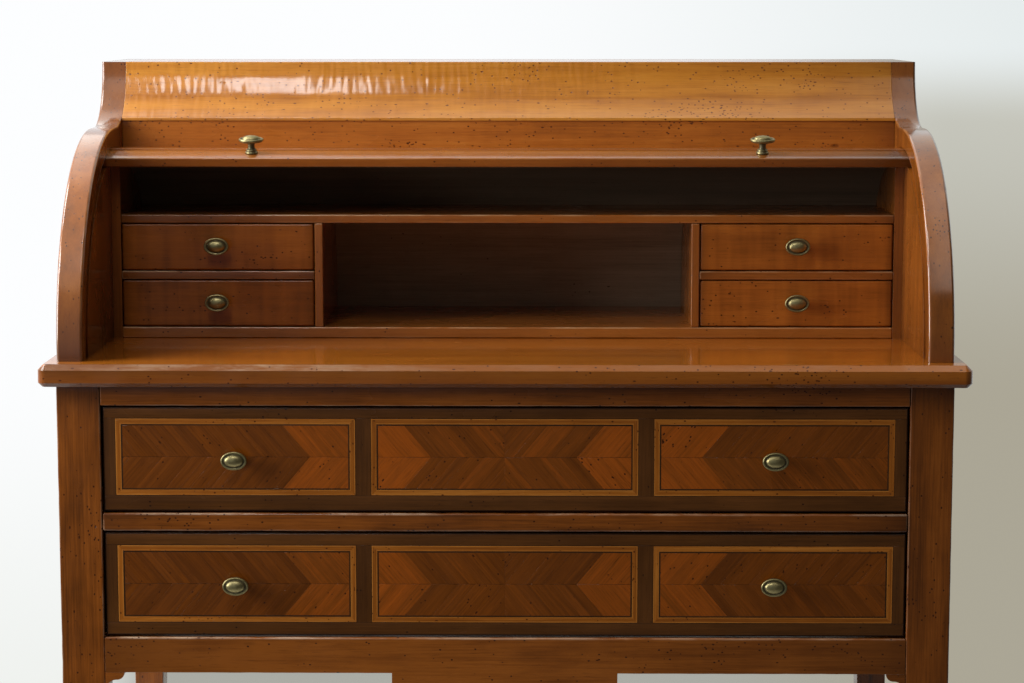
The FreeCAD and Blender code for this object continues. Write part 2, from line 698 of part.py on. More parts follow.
def small_drawer_right(name, foot):
    """A right-hand small drawer as its front, box and knob, as long as the curved back allows."""
    head = f"{foot} + nest_drawer_height"
    low, high = f"{DIVIDER_EDGE} + small_drawer_gap", f"{NEST_INNER} - small_drawer_gap"
    face = f"{NEST_FRONT} + small_drawer_recess"
    front_back = f"{face} + small_front_thickness"
    top = f"{head} - small_side_drop"
    rear = f"{AXIS_DEPTH} + sqrt(({NEST_HOLLOW}) ^ 2 - ({top} - ({AXIS_HEIGHT})) ^ 2) - small_drawer_room"
    inner = (f"{low} + small_wall_thickness", f"{high} - small_wall_thickness")
    bottom_head = f"{foot} + small_bottom_thickness"
    front = board(
        f"{name}_front",
        (low, high),
        (face, front_back),
        (f"{foot} + small_drawer_gap", f"{head} - small_drawer_gap"),
    )
    walls = [
        board(f"{name}_wall_inner", (low, inner[0]), (front_back, rear), (foot, top)),
        board(f"{name}_wall_outer", (inner[1], high), (front_back, rear), (foot, top)),
        board(f"{name}_wall_back", inner, (f"{rear} - small_wall_thickness", rear), (foot, top)),
        board(f"{name}_floor", inner, (front_back, f"{rear} - small_wall_thickness"), (foot, bottom_head)),
    ]
    box = group(f"{name}_box", walls)
    place = (f"({low} + {high}) / 2", face, f"{foot} + nest_drawer_height / 2 + small_knob_rise")
    return front, box, knob(f"{name}_knob", place, FACING_FRONT)


def small_drawers():
    levels = (("upper", f"{NEST_MIDDLE} + nest_shelf_thickness"), ("lower", NEST_FLOOR))
    for level, foot in levels:
        for made in small_drawer_right(f"nest_drawer_{level}_right", foot):
            keep(made)
            keep(mirrored(made.Label.replace("right", "left"), made))


def write_parts():
    """Write each finished sub-part, once every object has come out sound."""
    doc.recompute()
    for made in doc.Objects:
        if "Invalid" in made.State or "Error" in made.State:
            raise RuntimeError(f"{made.Label} is {made.State}")
    for made in nodes:
        if made.Shape.isNull() or not made.Shape.isValid() or not made.Shape.Solids:
            raise RuntimeError(f"{made.Label} has no sound shape")
    os.makedirs("parts", exist_ok=True)
    for made in nodes:
        made.Shape.exportStep(f"parts/{made.Label}.step")
    print(len(nodes), "sub-parts written")


legs()
lower_panels()
rails()
bottom_rail()
corner_brackets()
drawer_supports()
writing_board()
upper_sides()
upper_case()
nest()
lid()
large_drawer("upper_drawer", UPPER_FOOT)
large_drawer("lower_drawer", LOWER_FOOT)
small_drawers()
write_parts()
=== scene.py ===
import json
import math
import random

import bmesh
import bpy
from mathutils import Matrix, Vector, noise


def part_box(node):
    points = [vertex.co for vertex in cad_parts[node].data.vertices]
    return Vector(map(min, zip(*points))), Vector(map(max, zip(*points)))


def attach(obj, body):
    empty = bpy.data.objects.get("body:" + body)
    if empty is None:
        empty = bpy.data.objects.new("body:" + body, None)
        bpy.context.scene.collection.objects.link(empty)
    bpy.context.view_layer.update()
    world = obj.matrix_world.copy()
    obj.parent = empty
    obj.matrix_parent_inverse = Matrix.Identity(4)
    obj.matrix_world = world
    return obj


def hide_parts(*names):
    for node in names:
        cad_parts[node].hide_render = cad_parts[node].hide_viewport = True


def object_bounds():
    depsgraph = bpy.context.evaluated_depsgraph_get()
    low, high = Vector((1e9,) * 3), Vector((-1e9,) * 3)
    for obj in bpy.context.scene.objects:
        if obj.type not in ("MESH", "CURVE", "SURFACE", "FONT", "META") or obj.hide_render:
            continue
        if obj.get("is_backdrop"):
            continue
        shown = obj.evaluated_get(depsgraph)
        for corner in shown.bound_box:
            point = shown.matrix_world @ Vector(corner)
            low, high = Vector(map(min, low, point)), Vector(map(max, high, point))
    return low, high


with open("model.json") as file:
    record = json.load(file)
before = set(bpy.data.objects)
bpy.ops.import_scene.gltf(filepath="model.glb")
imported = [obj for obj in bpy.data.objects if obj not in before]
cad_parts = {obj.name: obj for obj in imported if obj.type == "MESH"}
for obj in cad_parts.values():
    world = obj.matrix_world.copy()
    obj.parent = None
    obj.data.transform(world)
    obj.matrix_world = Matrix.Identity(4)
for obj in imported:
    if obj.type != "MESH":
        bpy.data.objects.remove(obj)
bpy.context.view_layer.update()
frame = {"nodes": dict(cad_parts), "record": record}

MM = 0.001
nodes = frame["nodes"]
bodies = frame["record"]["behaviour"]["bodies"]
body_of_node = {node: body for body, members in bodies.items() for node in members}


# Shader graphs

class Graph:
    """Adds nodes to one shader tree and joins them by socket."""

    def __init__(self, tree):
        self.tree = tree

    def feed(self, socket, value):
        if isinstance(value, bpy.types.NodeSocket):
            self.tree.links.new(value, socket)
        else:
            socket.default_value = value

    def add(self, kind, inputs=None, **settings):
        made = self.tree.nodes.new(kind)
        for name, value in settings.items():
            setattr(made, name, value)
        for socket, value in (inputs or {}).items():
            self.feed(made.inputs[socket], value)
        return made

    def math(self, operation, first, second=0.0, clamp=False):
        made = self.add("ShaderNodeMath", {0: first, 1: second}, operation=operation)
        made.use_clamp = clamp
        return made.outputs[0]

    def span(self, value, low, high, to_low=0.0, to_high=1.0):
        """The value carried smoothly from one range to another, held at its ends."""
        made = self.add(
            "ShaderNodeMapRange",
            {"Value": value, "From Min": low, "From Max": high, "To Min": to_low, "To Max": to_high},
            interpolation_type="SMOOTHSTEP",
        )
        return made.outputs["Result"]

    def stretch(self, place, scales):
        made = self.add("ShaderNodeVectorMath", {0: place, 1: scales}, operation="MULTIPLY")
        return made.outputs[0]

    def cloud(self, place, scales, detail=2.0, rough=0.5, distortion=0.0):
        made = self.add(
            "ShaderNodeTexNoise",
            {
                "Vector": self.stretch(place, scales),
                "Scale": 1.0,
                "Detail": detail,
                "Roughness": rough,
                "Distortion": distortion,
            },
        )
        return made.outputs[0]

    def mix(self, share, first, second, blend="MIX"):
        made = self.add("ShaderNodeMix", data_type="RGBA", blend_type=blend)
        self.feed(made.inputs[0], share)
        self.feed(made.inputs[6], first)
        self.feed(made.inputs[7], second)
        return made.outputs[2]

    def ramp(self, share, stops):
        made = self.add("ShaderNodeValToRGB", {0: share})
        steps = made.color_ramp.elements
        while len(steps) < len(stops):
            steps.new(0.5)
        for step, (position, colour) in zip(steps, stops):
            step.position = position
            step.color = (*colour, 1.0)
        return made.outputs[0]


def new_group(name, inputs, outputs):
    """An empty node group with named sockets, and the graph inside it."""
    tree = bpy.data.node_groups.new(name, "ShaderNodeTree")
    for label, kind in inputs:
        tree.interface.new_socket(label, in_out="INPUT", socket_type=kind)
    for label in outputs:
        tree.interface.new_socket(label, in_out="OUTPUT", socket_type="NodeSocketFloat")
    graph = Graph(tree)
    given = graph.add("NodeGroupInput").outputs
    return tree, graph, given


def close_group(graph, **results):
    end = graph.add("NodeGroupOutput")
    for label, socket in results.items():
        graph.feed(end.inputs[label.replace("_", " ").capitalize()], socket)


PLACE = ("Place", "NodeSocketVector")


def grain_group():
    """Wood along the first coordinate: broad figure, growth rings, fine fibre and open pores."""
    tree, g, given = new_group(
        "wood_grain",
        [PLACE, ("Broad", "NodeSocketFloat")],
        ["Figure", "Fibre", "Pores", "Curl", "Stain"],
    )
    scaled = g.add(
        "ShaderNodeVectorMath", {0: given["Place"], "Scale": given["Broad"]}, operation="SCALE"
    ).outputs[0]
    wander = g.cloud(scaled, (2.2, 9.0, 9.0), 2.0)
    parts = g.add("ShaderNodeSeparateXYZ", {0: scaled}).outputs
    across = g.math("ADD", parts[1], g.math("MULTIPLY", parts[2], 0.8))
    bent = g.math("ADD", across, g.math("MULTIPLY", wander, 0.16))
    rings = g.math("SINE", g.math("MULTIPLY", bent, 300.0))
    streaks = g.cloud(scaled, (1.1, 34.0, 34.0), 4.0, 0.58, 0.3)
    figure = g.math("ADD", streaks, g.math("MULTIPLY", rings, 0.02))
    fibre = g.cloud(given["Place"], (13.0, 520.0, 520.0), 3.0, 0.6)
    pores = g.span(g.cloud(given["Place"], (55.0, 1500.0, 1500.0), 1.0), 0.60, 0.72)
    curl = g.cloud(given["Place"], (95.0, 9.0, 9.0), 1.0, 0.5, 0.4)
    stain = g.cloud(given["Place"], (8.0, 26.0, 26.0), 3.0, 0.65)
    close_group(g, figure=figure, fibre=fibre, pores=pores, curl=curl, stain=stain)
    return tree


def dents_group():
    """Small knocks and worm flecks, thick in some places and bare in others."""
    tree, g, given = new_group(
        "dents_and_flecks", [PLACE, ("Amount", "NodeSocketFloat")], ["Flecks", "Knocks"]
    )
    place = given["Place"]

    def spots(scales, lean, soft, most, chances):
        leaning = g.add(
            "ShaderNodeMapping",
            {"Vector": place, "Rotation": (0.0, lean, lean), "Scale": scales},
        ).outputs[0]
        cells = g.add("ShaderNodeTexVoronoi", {"Vector": leaning, "Scale": 1.0})
        chance = g.add("ShaderNodeSeparateColor", {0: cells.outputs["Color"]}).outputs[0]
        crowd = g.span(g.cloud(place, (9.0, 20.0, 20.0), 2.0), 0.46, 0.76)
        crowd = g.math("MULTIPLY", g.math("POWER", crowd, 2.0), 0.5)
        wanted = g.math("MULTIPLY", g.math("ADD", crowd, 0.06), given["Amount"])
        wanted = g.math("MULTIPLY", wanted, chances)
        size = g.math("MULTIPLY", g.span(g.math("SUBTRACT", wanted, chance), -0.004, 0.02), most)
        edge = g.math("SUBTRACT", size, cells.outputs["Distance"])
        return g.span(edge, 0.0, soft)

    small = spots((270.0, 360.0, 360.0), 0.7, 0.10, 0.36, 1.0)
    large = spots((110.0, 230.0, 230.0), 0.5, 0.06, 0.22, 0.7)
    flecks = g.math("MAXIMUM", small, large)
    knocks = spots((26.0, 60.0, 60.0), 0.4, 0.06, 0.16, 0.5)
    close_group(g, flecks=flecks, knocks=knocks)
    return tree


def wear_and_glint_group():
    """Arrises worn pale in broken runs: real rubbing, and also a painted highlight along them."""
    tree, g, given = new_group(
        "arris_wear", [PLACE, ("Arris", "NodeSocketFloat")], ["Rubbed", "Nicks"]
    )
    runs = g.span(g.cloud(given["Place"], (14.0, 70.0, 70.0), 4.0, 0.7), 0.37, 0.66)
    bites = g.cloud(given["Place"], (150.0, 150.0, 150.0), 2.0, 0.6)
    rubbed = g.math("MULTIPLY", runs, given["Arris"])
    nicks = g.math("MULTIPLY", bites, given["Arris"])
    close_group(g, rubbed=rubbed, nicks=nicks)
    return tree


def polish_group():
    """Hand-rubbed polish: cloudy sheen and the slight waves that a plane leaves."""
    tree, g, given = new_group("hand_polish", [PLACE], ["Haze", "Waves"])
    haze = g.cloud(given["Place"], (7.0, 16.0, 16.0), 3.0, 0.6)
    long_waves = g.cloud(given["Place"], (26.0, 40.0, 40.0), 1.0)
    chatter = g.cloud(given["Place"], (120.0, 22.0, 22.0), 1.0)
    waves = g.math("ADD", g.math("MULTIPLY", long_waves, 0.7), g.math("MULTIPLY", chatter, 0.3))
    close_group(g, haze=haze, waves=waves)
    return tree


GRAIN = grain_group()
DENTS = dents_group()
WEAR_AND_GLINT = wear_and_glint_group()
POLISH = polish_group()


def start_material(name):
    """A bare material, its graph and its Principled shader."""
    material = bpy.data.materials.new(name)
    material.use_nodes = True
    graph = Graph(material.node_tree)
    return material, graph, material.node_tree.nodes["Principled BSDF"]


def use_group(graph, tree, **inputs):
    made = graph.add("ShaderNodeGroup")
    made.node_tree = tree
    for label, value in inputs.items():
        graph.feed(made.inputs[label.capitalize()], value)
    return made.outputs


# The deep colour darkens the pores and is also the colour of the painted shade.
DEEP_STAIN_AND_SHADE = 0.45
BURNT = (0.42, 0.34, 0.25)
KNOCK_STAIN = 0.55
KNOCK_DEPTH = 4.0
NICK_DEPTH = 3.0
PORE_DEPTH = 0.12
DENT_DEPTH = 0.06 * MM


def wood(
    name, dark, middle, light, worn, broad=1.0, fibre=0.5, dents=0.5, haze=(0.17, 0.32),
    coat=0.0, coat_roughness=0.1, sheen=0.45, waves=0.12 * MM, contrast=1.0, curl=0.05, stain=0.35,
    pores=0.30, rub=0.55, banded=False, coat_ior=1.5, planed=False,
):
    """A stained and polished wood, with painted shade and painted highlights laid on its colour. Colours
    run from its dark streaks to its light ones.
    """
    material, g, shader = start_material(name)
    place = g.add("ShaderNodeAttribute", attribute_name="grain").outputs["Vector"]
    arris = g.add("ShaderNodeAttribute", attribute_name="arris").outputs["Fac"]
    tone = g.add("ShaderNodeAttribute", attribute_name="tone").outputs["Fac"]
    shade = g.add("ShaderNodeAttribute", attribute_name="shade").outputs["Fac"]
    grain = use_group(g, GRAIN, place=place, broad=broad)
    marks = use_group(g, DENTS, place=place, amount=dents)
    edge_marks = use_group(g, WEAR_AND_GLINT, place=place, arris=arris)
    polish = use_group(g, POLISH, place=place)
    lines = g.math("SUBTRACT", grain["Fibre"], 0.5)
    lines = g.math("MULTIPLY", lines, fibre)
    figure = g.math("ADD", g.math("SUBTRACT", grain["Figure"], 0.5), lines)
    figure = g.math("ADD", g.math("MULTIPLY", figure, contrast), 0.5)
    ripple = g.math("MULTIPLY", g.math("SUBTRACT", grain["Curl"], 0.5), curl)
    blotch = g.math("MULTIPLY", g.math("SUBTRACT", grain["Stain"], 0.5), stain)
    # A piece's tone is partly its own colour and, on some pieces, painted light and shade.
    figure = g.math("ADD", g.math("ADD", figure, ripple), g.math("ADD", blotch, tone))
    colour = g.ramp(figure, [(0.22, dark), (0.5, middle), (0.80, light)])
    deep = tuple(DEEP_STAIN_AND_SHADE * part for part in dark)
    colour = g.mix(g.math("MULTIPLY", grain["Pores"], pores), colour, (*deep, 1.0))
    # Painted shade: the shade attribute darkens the colour towards the deep colour.
    colour = g.mix(shade, colour, (*deep, 1.0))
    # The worn colour on arrises is real rubbing and, where pale, a painted highlight; on the drawer
    # fronts it is dark, a painted shade.
    colour = g.mix(g.math("MULTIPLY", edge_marks["Rubbed"], rub), colour, (*worn, 1.0))
    burnt = tuple(share * part for share, part in zip(BURNT, dark))
    colour = g.mix(marks["Flecks"], colour, (*burnt, 1.0))
    colour = g.mix(g.math("MULTIPLY", marks["Knocks"], KNOCK_STAIN), colour, (*burnt, 1.0))
    g.feed(shader.inputs["Base Color"], colour)
    g.feed(shader.inputs["Roughness"], g.span(polish["Haze"], 0.3, 0.7, *haze))
    shader.inputs["Specular IOR Level"].default_value = sheen
    if banded:
        band = g.add("ShaderNodeAttribute", attribute_name="band").outputs["Fac"]
        g.feed(shader.inputs["Coat Weight"], band)
    else:
        shader.inputs["Coat Weight"].default_value = coat
    shader.inputs["Coat Roughness"].default_value = coat_roughness
    shader.inputs["Coat IOR"].default_value = coat_ior
    hollow = g.math("ADD", marks["Flecks"], g.math("MULTIPLY", marks["Knocks"], KNOCK_DEPTH))
    hollow = g.math("ADD", hollow, g.math("MULTIPLY", edge_marks["Nicks"], NICK_DEPTH))
    hollow = g.math("ADD", hollow, g.math("MULTIPLY", grain["Pores"], PORE_DEPTH))
    dent_bump = g.add(
        "ShaderNodeBump", {"Height": hollow, "Distance": DENT_DEPTH, "Strength": 1.0}, invert=True
    )
    unevenness = polish["Waves"]
    if planed:
        by_hand = g.add("ShaderNodeAttribute", attribute_name="planed").outputs["Fac"]
        unevenness = g.math("MULTIPLY", unevenness, by_hand)
    wave_bump = g.add(
        "ShaderNodeBump",
        {"Height": unevenness, "Distance": waves, "Strength": 1.0, "Normal": dent_bump.outputs[0]},
    )
    g.feed(shader.inputs["Normal"], wave_bump.outputs[0])
    return material


# Its pale worn colour on arrises is partly real rubbing and partly the painted highlight along the rails.
case_cherry = wood(
    "case_cherry", (0.12, 0.032, 0.0034), (0.242, 0.065, 0.0064), (0.36, 0.104, 0.012),
    worn=(0.74, 0.56, 0.38), coat=0.33, coat_roughness=0.12, sheen=0.3, contrast=0.85, fibre=0.8,
    stain=0.8, rub=0.6, dents=0.8,
)
# Its pale worn colour also paints the highlight on the board's chamfer.
board_cherry = wood(
    "board_cherry", (0.18, 0.047, 0.0048), (0.36, 0.096, 0.0080), (0.50, 0.150, 0.014),
    worn=(0.50, 0.35, 0.22), coat=0.85, coat_roughness=0.12, sheen=0.1, haze=(0.18, 0.28), contrast=0.7,
    dents=0.8,
)
lid_cherry = wood(
    "lid_cherry", (0.16, 0.044, 0.006), (0.30, 0.085, 0.010), (0.43, 0.135, 0.016),
    worn=(0.56, 0.34, 0.16), coat=0.8, coat_roughness=0.12, sheen=0.2, contrast=0.7,
)
cove_cherry = wood(
    "cove_cherry", (0.33, 0.102, 0.010), (0.54, 0.200, 0.019), (0.68, 0.292, 0.038),
    worn=(0.66, 0.38, 0.15), dents=1.3, sheen=0.75, haze=(0.13, 0.20), contrast=0.75, curl=0.10,
    stain=0.5, waves=1.1 * MM, planed=True,
)
fascia_cherry = wood(
    "fascia_cherry", (0.22, 0.057, 0.007), (0.43, 0.124, 0.013), (0.58, 0.195, 0.026),
    worn=(0.60, 0.30, 0.11), dents=1.3, contrast=0.7, curl=0.08, stain=0.45,
)
side_cherry = wood(
    "side_cherry", (0.16, 0.046, 0.0055), (0.315, 0.091, 0.0105), (0.44, 0.145, 0.020),
    worn=(0.48, 0.30, 0.16), sheen=0.3, contrast=0.7, dents=1.2, stain=0.7, rub=0.4,
    banded=True, coat_roughness=0.13, coat_ior=1.6,
)
nest_cherry = wood(
    "nest_cherry", (0.13, 0.037, 0.005), (0.26, 0.076, 0.010), (0.38, 0.120, 0.017),
    worn=(0.66, 0.44, 0.24), dents=0.4, contrast=0.6, coat=0.4, coat_roughness=0.12, sheen=0.3, rub=0.7,
)
# Its worn colour is darker than the wood: painted shade on the rounded edges of the small fronts.
small_front_cherry = wood(
    "small_front_cherry", (0.17, 0.047, 0.006), (0.29, 0.082, 0.010), (0.40, 0.118, 0.014),
    worn=(0.12, 0.034, 0.005), dents=0.5, contrast=0.7, curl=0.50, stain=0.7, sheen=0.3,
)
# Its dark worn colour is painted shade on the rounded edges of the drawer fronts.
border_walnut = wood(
    "border_walnut", (0.050, 0.016, 0.003), (0.090, 0.031, 0.006), (0.145, 0.050, 0.010),
    worn=(0.05, 0.018, 0.005), dents=0.3, contrast=0.8, stain=0.7, sheen=0.3,
)
leaf_veneer = wood(
    "leaf_veneer", (0.115, 0.030, 0.0030), (0.205, 0.053, 0.0045), (0.39, 0.088, 0.0065),
    worn=(0.24, 0.08, 0.02), dents=0.4, fibre=0.95, broad=2.2, contrast=0.5, stain=0.3, sheen=0.3,
    pores=0.45,
)
light_string = wood(
    "light_string", (0.24, 0.068, 0.007), (0.37, 0.114, 0.012), (0.52, 0.190, 0.028),
    worn=(0.40, 0.15, 0.03), dents=0.9, fibre=0.9, sheen=0.3,
)
dark_string = wood(
    "dark_string", (0.022, 0.009, 0.003), (0.048, 0.018, 0.005), (0.085, 0.030, 0.008),
    worn=(0.10, 0.04, 0.012), dents=0.0, sheen=0.3,
)
lining_poplar = wood(
    "lining_poplar", (0.26, 0.140, 0.055), (0.42, 0.250, 0.110), (0.52, 0.340, 0.170),
    worn=(0.56, 0.40, 0.22), dents=0.15, sheen=0.25, haze=(0.45, 0.62),
)
# Set paler and greyer than the wood itself, to lift the dark compartments of the nest: painted fill
# light.
inside_walnut = wood(
    "inside_walnut", (0.20, 0.140, 0.092), (0.32, 0.232, 0.152), (0.43, 0.310, 0.205),
    worn=(0.48, 0.32, 0.20), dents=0.15, sheen=0.3, haze=(0.40, 0.55),
)
back_walnut = wood(
    "back_walnut", (0.20, 0.112, 0.056), (0.34, 0.200, 0.102), (0.45, 0.280, 0.150),
    worn=(0.50, 0.33, 0.19), dents=0.3, sheen=0.3, haze=(0.40, 0.55), stain=0.6,
)


def antique_brass():
    """Old lacquered brass: bright where fingers rub, brown-green in the hollows."""
    material, g, shader = start_material("antique_brass")
    hollow = g.add("ShaderNodeAttribute", attribute_name="hollow").outputs["Fac"]
    place = g.add("ShaderNodeTexCoord").outputs["Object"]
    stains = g.cloud(place, (260.0, 260.0, 260.0), 4.0, 0.65)
    specks = g.span(g.cloud(place, (900.0, 900.0, 900.0), 2.0), 0.56, 0.70)
    dull = g.math("ADD", hollow, g.math("MULTIPLY", g.math("SUBTRACT", stains, 0.5), 0.9), clamp=True)
    colour = g.ramp(
        dull,
        [(0.0, (0.31, 0.262, 0.122)), (0.45, (0.21, 0.178, 0.086)), (1.0, (0.070, 0.057, 0.031))],
    )
    colour = g.mix(g.math("MULTIPLY", specks, 0.35), colour, (0.05, 0.045, 0.03, 1.0))
    g.feed(shader.inputs["Base Color"], colour)
    g.feed(shader.inputs["Metallic"], g.span(dull, 0.2, 1.0, 0.95, 0.55))
    g.feed(shader.inputs["Roughness"], g.span(stains, 0.3, 0.7, 0.30, 0.48))
    bump = g.add("ShaderNodeBump", {"Height": stains, "Distance": DENT_DEPTH, "Strength": 1.0})
    g.feed(shader.inputs["Normal"], bump.outputs[0])
    return material


brass = antique_brass()


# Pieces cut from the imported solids

GRAIN_ORDER = {"x": (0, 1, 2), "y": (1, 0, 2), "z": (2, 0, 1)}
SHARP = math.radians(25)
FLAT = math.radians(0.4)
WELD = 1e-5
STRAIGHT = math.radians(0.2)


def board_offset(name):
    """Each board comes from its own part of the log."""
    draw = random.Random(name)
    return Vector((draw.uniform(0, 9), draw.uniform(0, 9), draw.uniform(0, 9)))


def faded(value, full, none):
    """One at the full end, falling smoothly to nothing at the other."""
    share = min(1.0, max(0.0, (value - none) / (full - none)))
    return share * share * (3.0 - 2.0 * share)


def write_grain(mesh, along, offset):
    order = GRAIN_ORDER[along]
    layer = mesh.attributes.new("grain", "FLOAT_VECTOR", "POINT")
    for item, vertex in zip(layer.data, mesh.vertices):
        item.vector = Vector([vertex.co[axis] for axis in order]) + offset


def hand_in(name, mesh, body, slot, material, replaced=()):
    """The finished object on its body, in place of its CAD nodes."""
    piece = bpy.data.objects.new(name, mesh)
    bpy.context.scene.collection.objects.link(piece)
    mesh.materials.append(material)
    mesh.shade_smooth()
    corners = piece.modifiers.new("clean_shading", "WEIGHTED_NORMAL")
    corners.keep_sharp = True
    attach(piece, body)
    if replaced:
        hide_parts(*replaced)
    return piece


# Worn arrises, and painted shade and light

END_SHADE = 0.6
FOOT_SHADE = {"left": 1.0, "right": 0.60}
FOOT_REACH = 62.0 * MM
HEAD_SHADE = 0.45
HEAD_FROM = 1020.0 * MM
UNDER_SHADE = 0.90
UNDER_REACH = 3.0 * MM
COVE_SHADE = 0.50
COVE_SHADE_REACH = 90.0 * MM
FRONT_EDGE_SHADE = 0.40
CHAMFER_SHADE = 0.80
CHAMFER_FADE = 0.72
CHAMFER_LEAN = (0.5, 0.9)
GLINT_CENTRE = -270.0 * MM
GLINT_REACH = 130.0 * MM
GLINT_LEAST = 0.15
BOARD_CHAMFER = 6.2 * MM
LIT_FRONT_TONE = 0.32
LIT_FRONT_REACH = 75.0 * MM
DUSK_REACH = 15.0 * MM
DUSK_EDGE = 1.0 * MM
DUSK_FROM = -350.0 * MM
DUSK_TO = 250.0 * MM
RIM_SHADE = 0.9
RIM_SHADE_FULL = 2.0 * MM
RIM_SHADE_END = 4.0 * MM
QUIET_FROM = 20.0 * MM
QUIET_TO = 240.0 * MM
# Tones of an upper side's flat and curved faces, set per side for how each is lit: painted light and
# shade.
FLAT_TONE = {"left": -0.06, "right": -0.13}
CURVED_TONE = {"left": 0.0, "right": 0.08}
REAR_FACING = 0.3
AXES = {"x": Vector((1, 0, 0)), "y": Vector((0, 1, 0)), "z": Vector((0, 0, 1))}
CUT_PITCH = 9.0 * MM
ARRIS_STEPS = 3
WOBBLE_SIZE = 70.0


def cut_across(work, axis):
    """Cuts a board into short runs along an axis, so that its arrises can wander."""
    normal = AXES[axis]
    reach = [vertex.co.dot(normal) for vertex in work.verts]
    start, end = min(reach), max(reach)
    count = int((end - start) / CUT_PITCH)
    for i in range(1, count):
        bmesh.ops.bisect_plane(
            work, geom=work.verts[:] + work.edges[:] + work.faces[:], dist=WELD,
            plane_co=normal * (start + (end - start) * i / count), plane_no=normal,
        )


# Weights of the pale mark on arrises: real rubbing, made stronger on upward-facing arrises and towards
# the left, where it also paints a highlight.
DOWNWARD_WEAR_AND_GLINT = 0.35
RIGHT_WEAR_AND_GLINT = 0.55
WEAR_AND_GLINT_MOST_X = -100.0 * MM
WEAR_AND_GLINT_LEAST_X = 300.0 * MM
ROUND_FROM = 0.10
ROUND_TO = 0.97


def is_round(face):
    """Whether a face is part of an arris that the solid itself has rounded, along a side."""
    return ROUND_FROM < abs(face.normal.x) < ROUND_TO


def round_off(work, edges, arris):
    """Rounds edges and gives the faces that this makes."""
    made = bmesh.ops.bevel(
        work, geom=edges, offset=arris, offset_type="OFFSET", segments=ARRIS_STEPS, profile=0.5,
        affect="EDGES", clamp_overlap=True,
    )
    return made["faces"]


def hard_edges(work):
    return [
        edge for edge in work.edges
        if len(edge.link_faces) == 2 and edge.calc_face_angle() > SHARP
    ]


def solid_points(work):
    """The points of each solid of a node, so that solids that touch aren't welded into one."""
    beside = {}
    for face in work.faces:
        for edge in face.edges:
            ends = frozenset(tuple(round(part / WELD) for part in vertex.co) for vertex in edge.verts)
            beside.setdefault(ends, []).append(face.index)
    joined = list(range(len(work.faces)))

    def first_of(index):
        while joined[index] != index:
            index = joined[index]
        return index

    for faces in beside.values():
        if len(faces) == 2:
            joined[first_of(faces[0])] = first_of(faces[1])
    solids = {}
    for face in work.faces:
        solids.setdefault(first_of(face.index), {}).update(dict.fromkeys(face.verts))
    return [list(points) for points in solids.values()]


def softened(node, arris, change=None, cuts="", wobble=0.0, rounds=False, top_arris=0.0):
    """The node's mesh with every hard arris rounded by hand, and a mark on the rounded faces."""
    low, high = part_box(node)
    work = bmesh.new()
    work.from_mesh(nodes[node].data)
    for points in solid_points(work):
        bmesh.ops.remove_doubles(work, verts=points, dist=WELD)
    bmesh.ops.dissolve_limit(
        work, angle_limit=FLAT, use_dissolve_boundaries=False, verts=work.verts, edges=work.edges,
        delimit=set(),
    )
    if change:
        change(work)
    for axis in cuts:
        cut_across(work, axis)
    mark = work.faces.layers.float.new("arris")
    if top_arris:
        top = max(vertex.co.z for vertex in work.verts) - WELD
        upper = [edge for edge in hard_edges(work) if all(vertex.co.z > top for vertex in edge.verts)]
        for face in round_off(work, upper, top_arris):
            face[mark] = 1.0
    for face in round_off(work, hard_edges(work), arris):
        face[mark] = 1.0
    work.normal_update()
    worn = set()
    for face in work.faces:
        if face[mark] or rounds and is_round(face):
            # Real rubbing and painted highlight: the mark is strongest on upward-facing arrises and
            # towards the left.
            upward = DOWNWARD_WEAR_AND_GLINT + (1.0 - DOWNWARD_WEAR_AND_GLINT) * max(0.0, face.normal.z)
            leftward = faded(face.calc_center_median().x, WEAR_AND_GLINT_MOST_X, WEAR_AND_GLINT_LEAST_X)
            face[mark] = upward * (RIGHT_WEAR_AND_GLINT + (1.0 - RIGHT_WEAR_AND_GLINT) * leftward)
            worn.update(face.verts)
    for vertex in sorted(worn, key=lambda v: v.index):
        rub = 0.5 + 0.5 * noise.noise(vertex.co * WOBBLE_SIZE)
        vertex.co -= vertex.normal * (wobble * rub * rub)
        for axis in range(3):
            vertex.co[axis] = min(high[axis], max(low[axis], vertex.co[axis]))
    mesh = bpy.data.meshes.new(node + "_finished")
    work.to_mesh(mesh)
    work.free()
    return mesh


def spread(mesh, name, value_at):
    """Writes a value on every point, worked out from its place and the mesh's corners."""
    spots = [vertex.co for vertex in mesh.vertices]
    low = Vector([min(spot[axis] for spot in spots) for axis in range(3)])
    high = Vector([max(spot[axis] for spot in spots) for axis in range(3)])
    layer = mesh.attributes.new(name, "FLOAT", "POINT")
    for item, spot in zip(layer.data, spots):
        item.value = value_at(spot, low, high)


def shaded_ends(along, reach, right=0.0):
    """Painted shade, deeper towards both ends of a piece where it meets other parts and, if wanted, over
    its right half.
    """
    axis = GRAIN_ORDER[along][0]

    def value_at(spot, low, high):
        from_end = min(spot[axis] - low[axis], high[axis] - spot[axis])
        return END_SHADE * math.exp(-from_end / (reach * MM)) + right * faded(spot.x, high.x, 0.0)

    return value_at


def shaded_foot_and_head(spot, low, high):
    """Painted shade low on an upper side where it stands on the board, deeper on the left side, and high
    up beside the cove.
    """
    foot = FOOT_SHADE["left" if spot.x < 0 else "right"] * math.exp(-(spot.z - low.z) / FOOT_REACH)
    return max(foot, HEAD_SHADE * faded(spot.z, HEAD_FROM, HEAD_FROM - FOOT_REACH))


def shadow_under_board(spot, low, high):
    """Painted shadow along the line under the writing board."""
    return UNDER_SHADE * math.exp(-(high.z - spot.z) / UNDER_REACH)


def shaded_cove_end(spot, low, high):
    """Painted shade at the upper right end of the cove."""
    near_end = math.exp(-(high.x - spot.x) / COVE_SHADE_REACH)
    return COVE_SHADE * near_end * (spot.z - low.z) / (high.z - low.z)


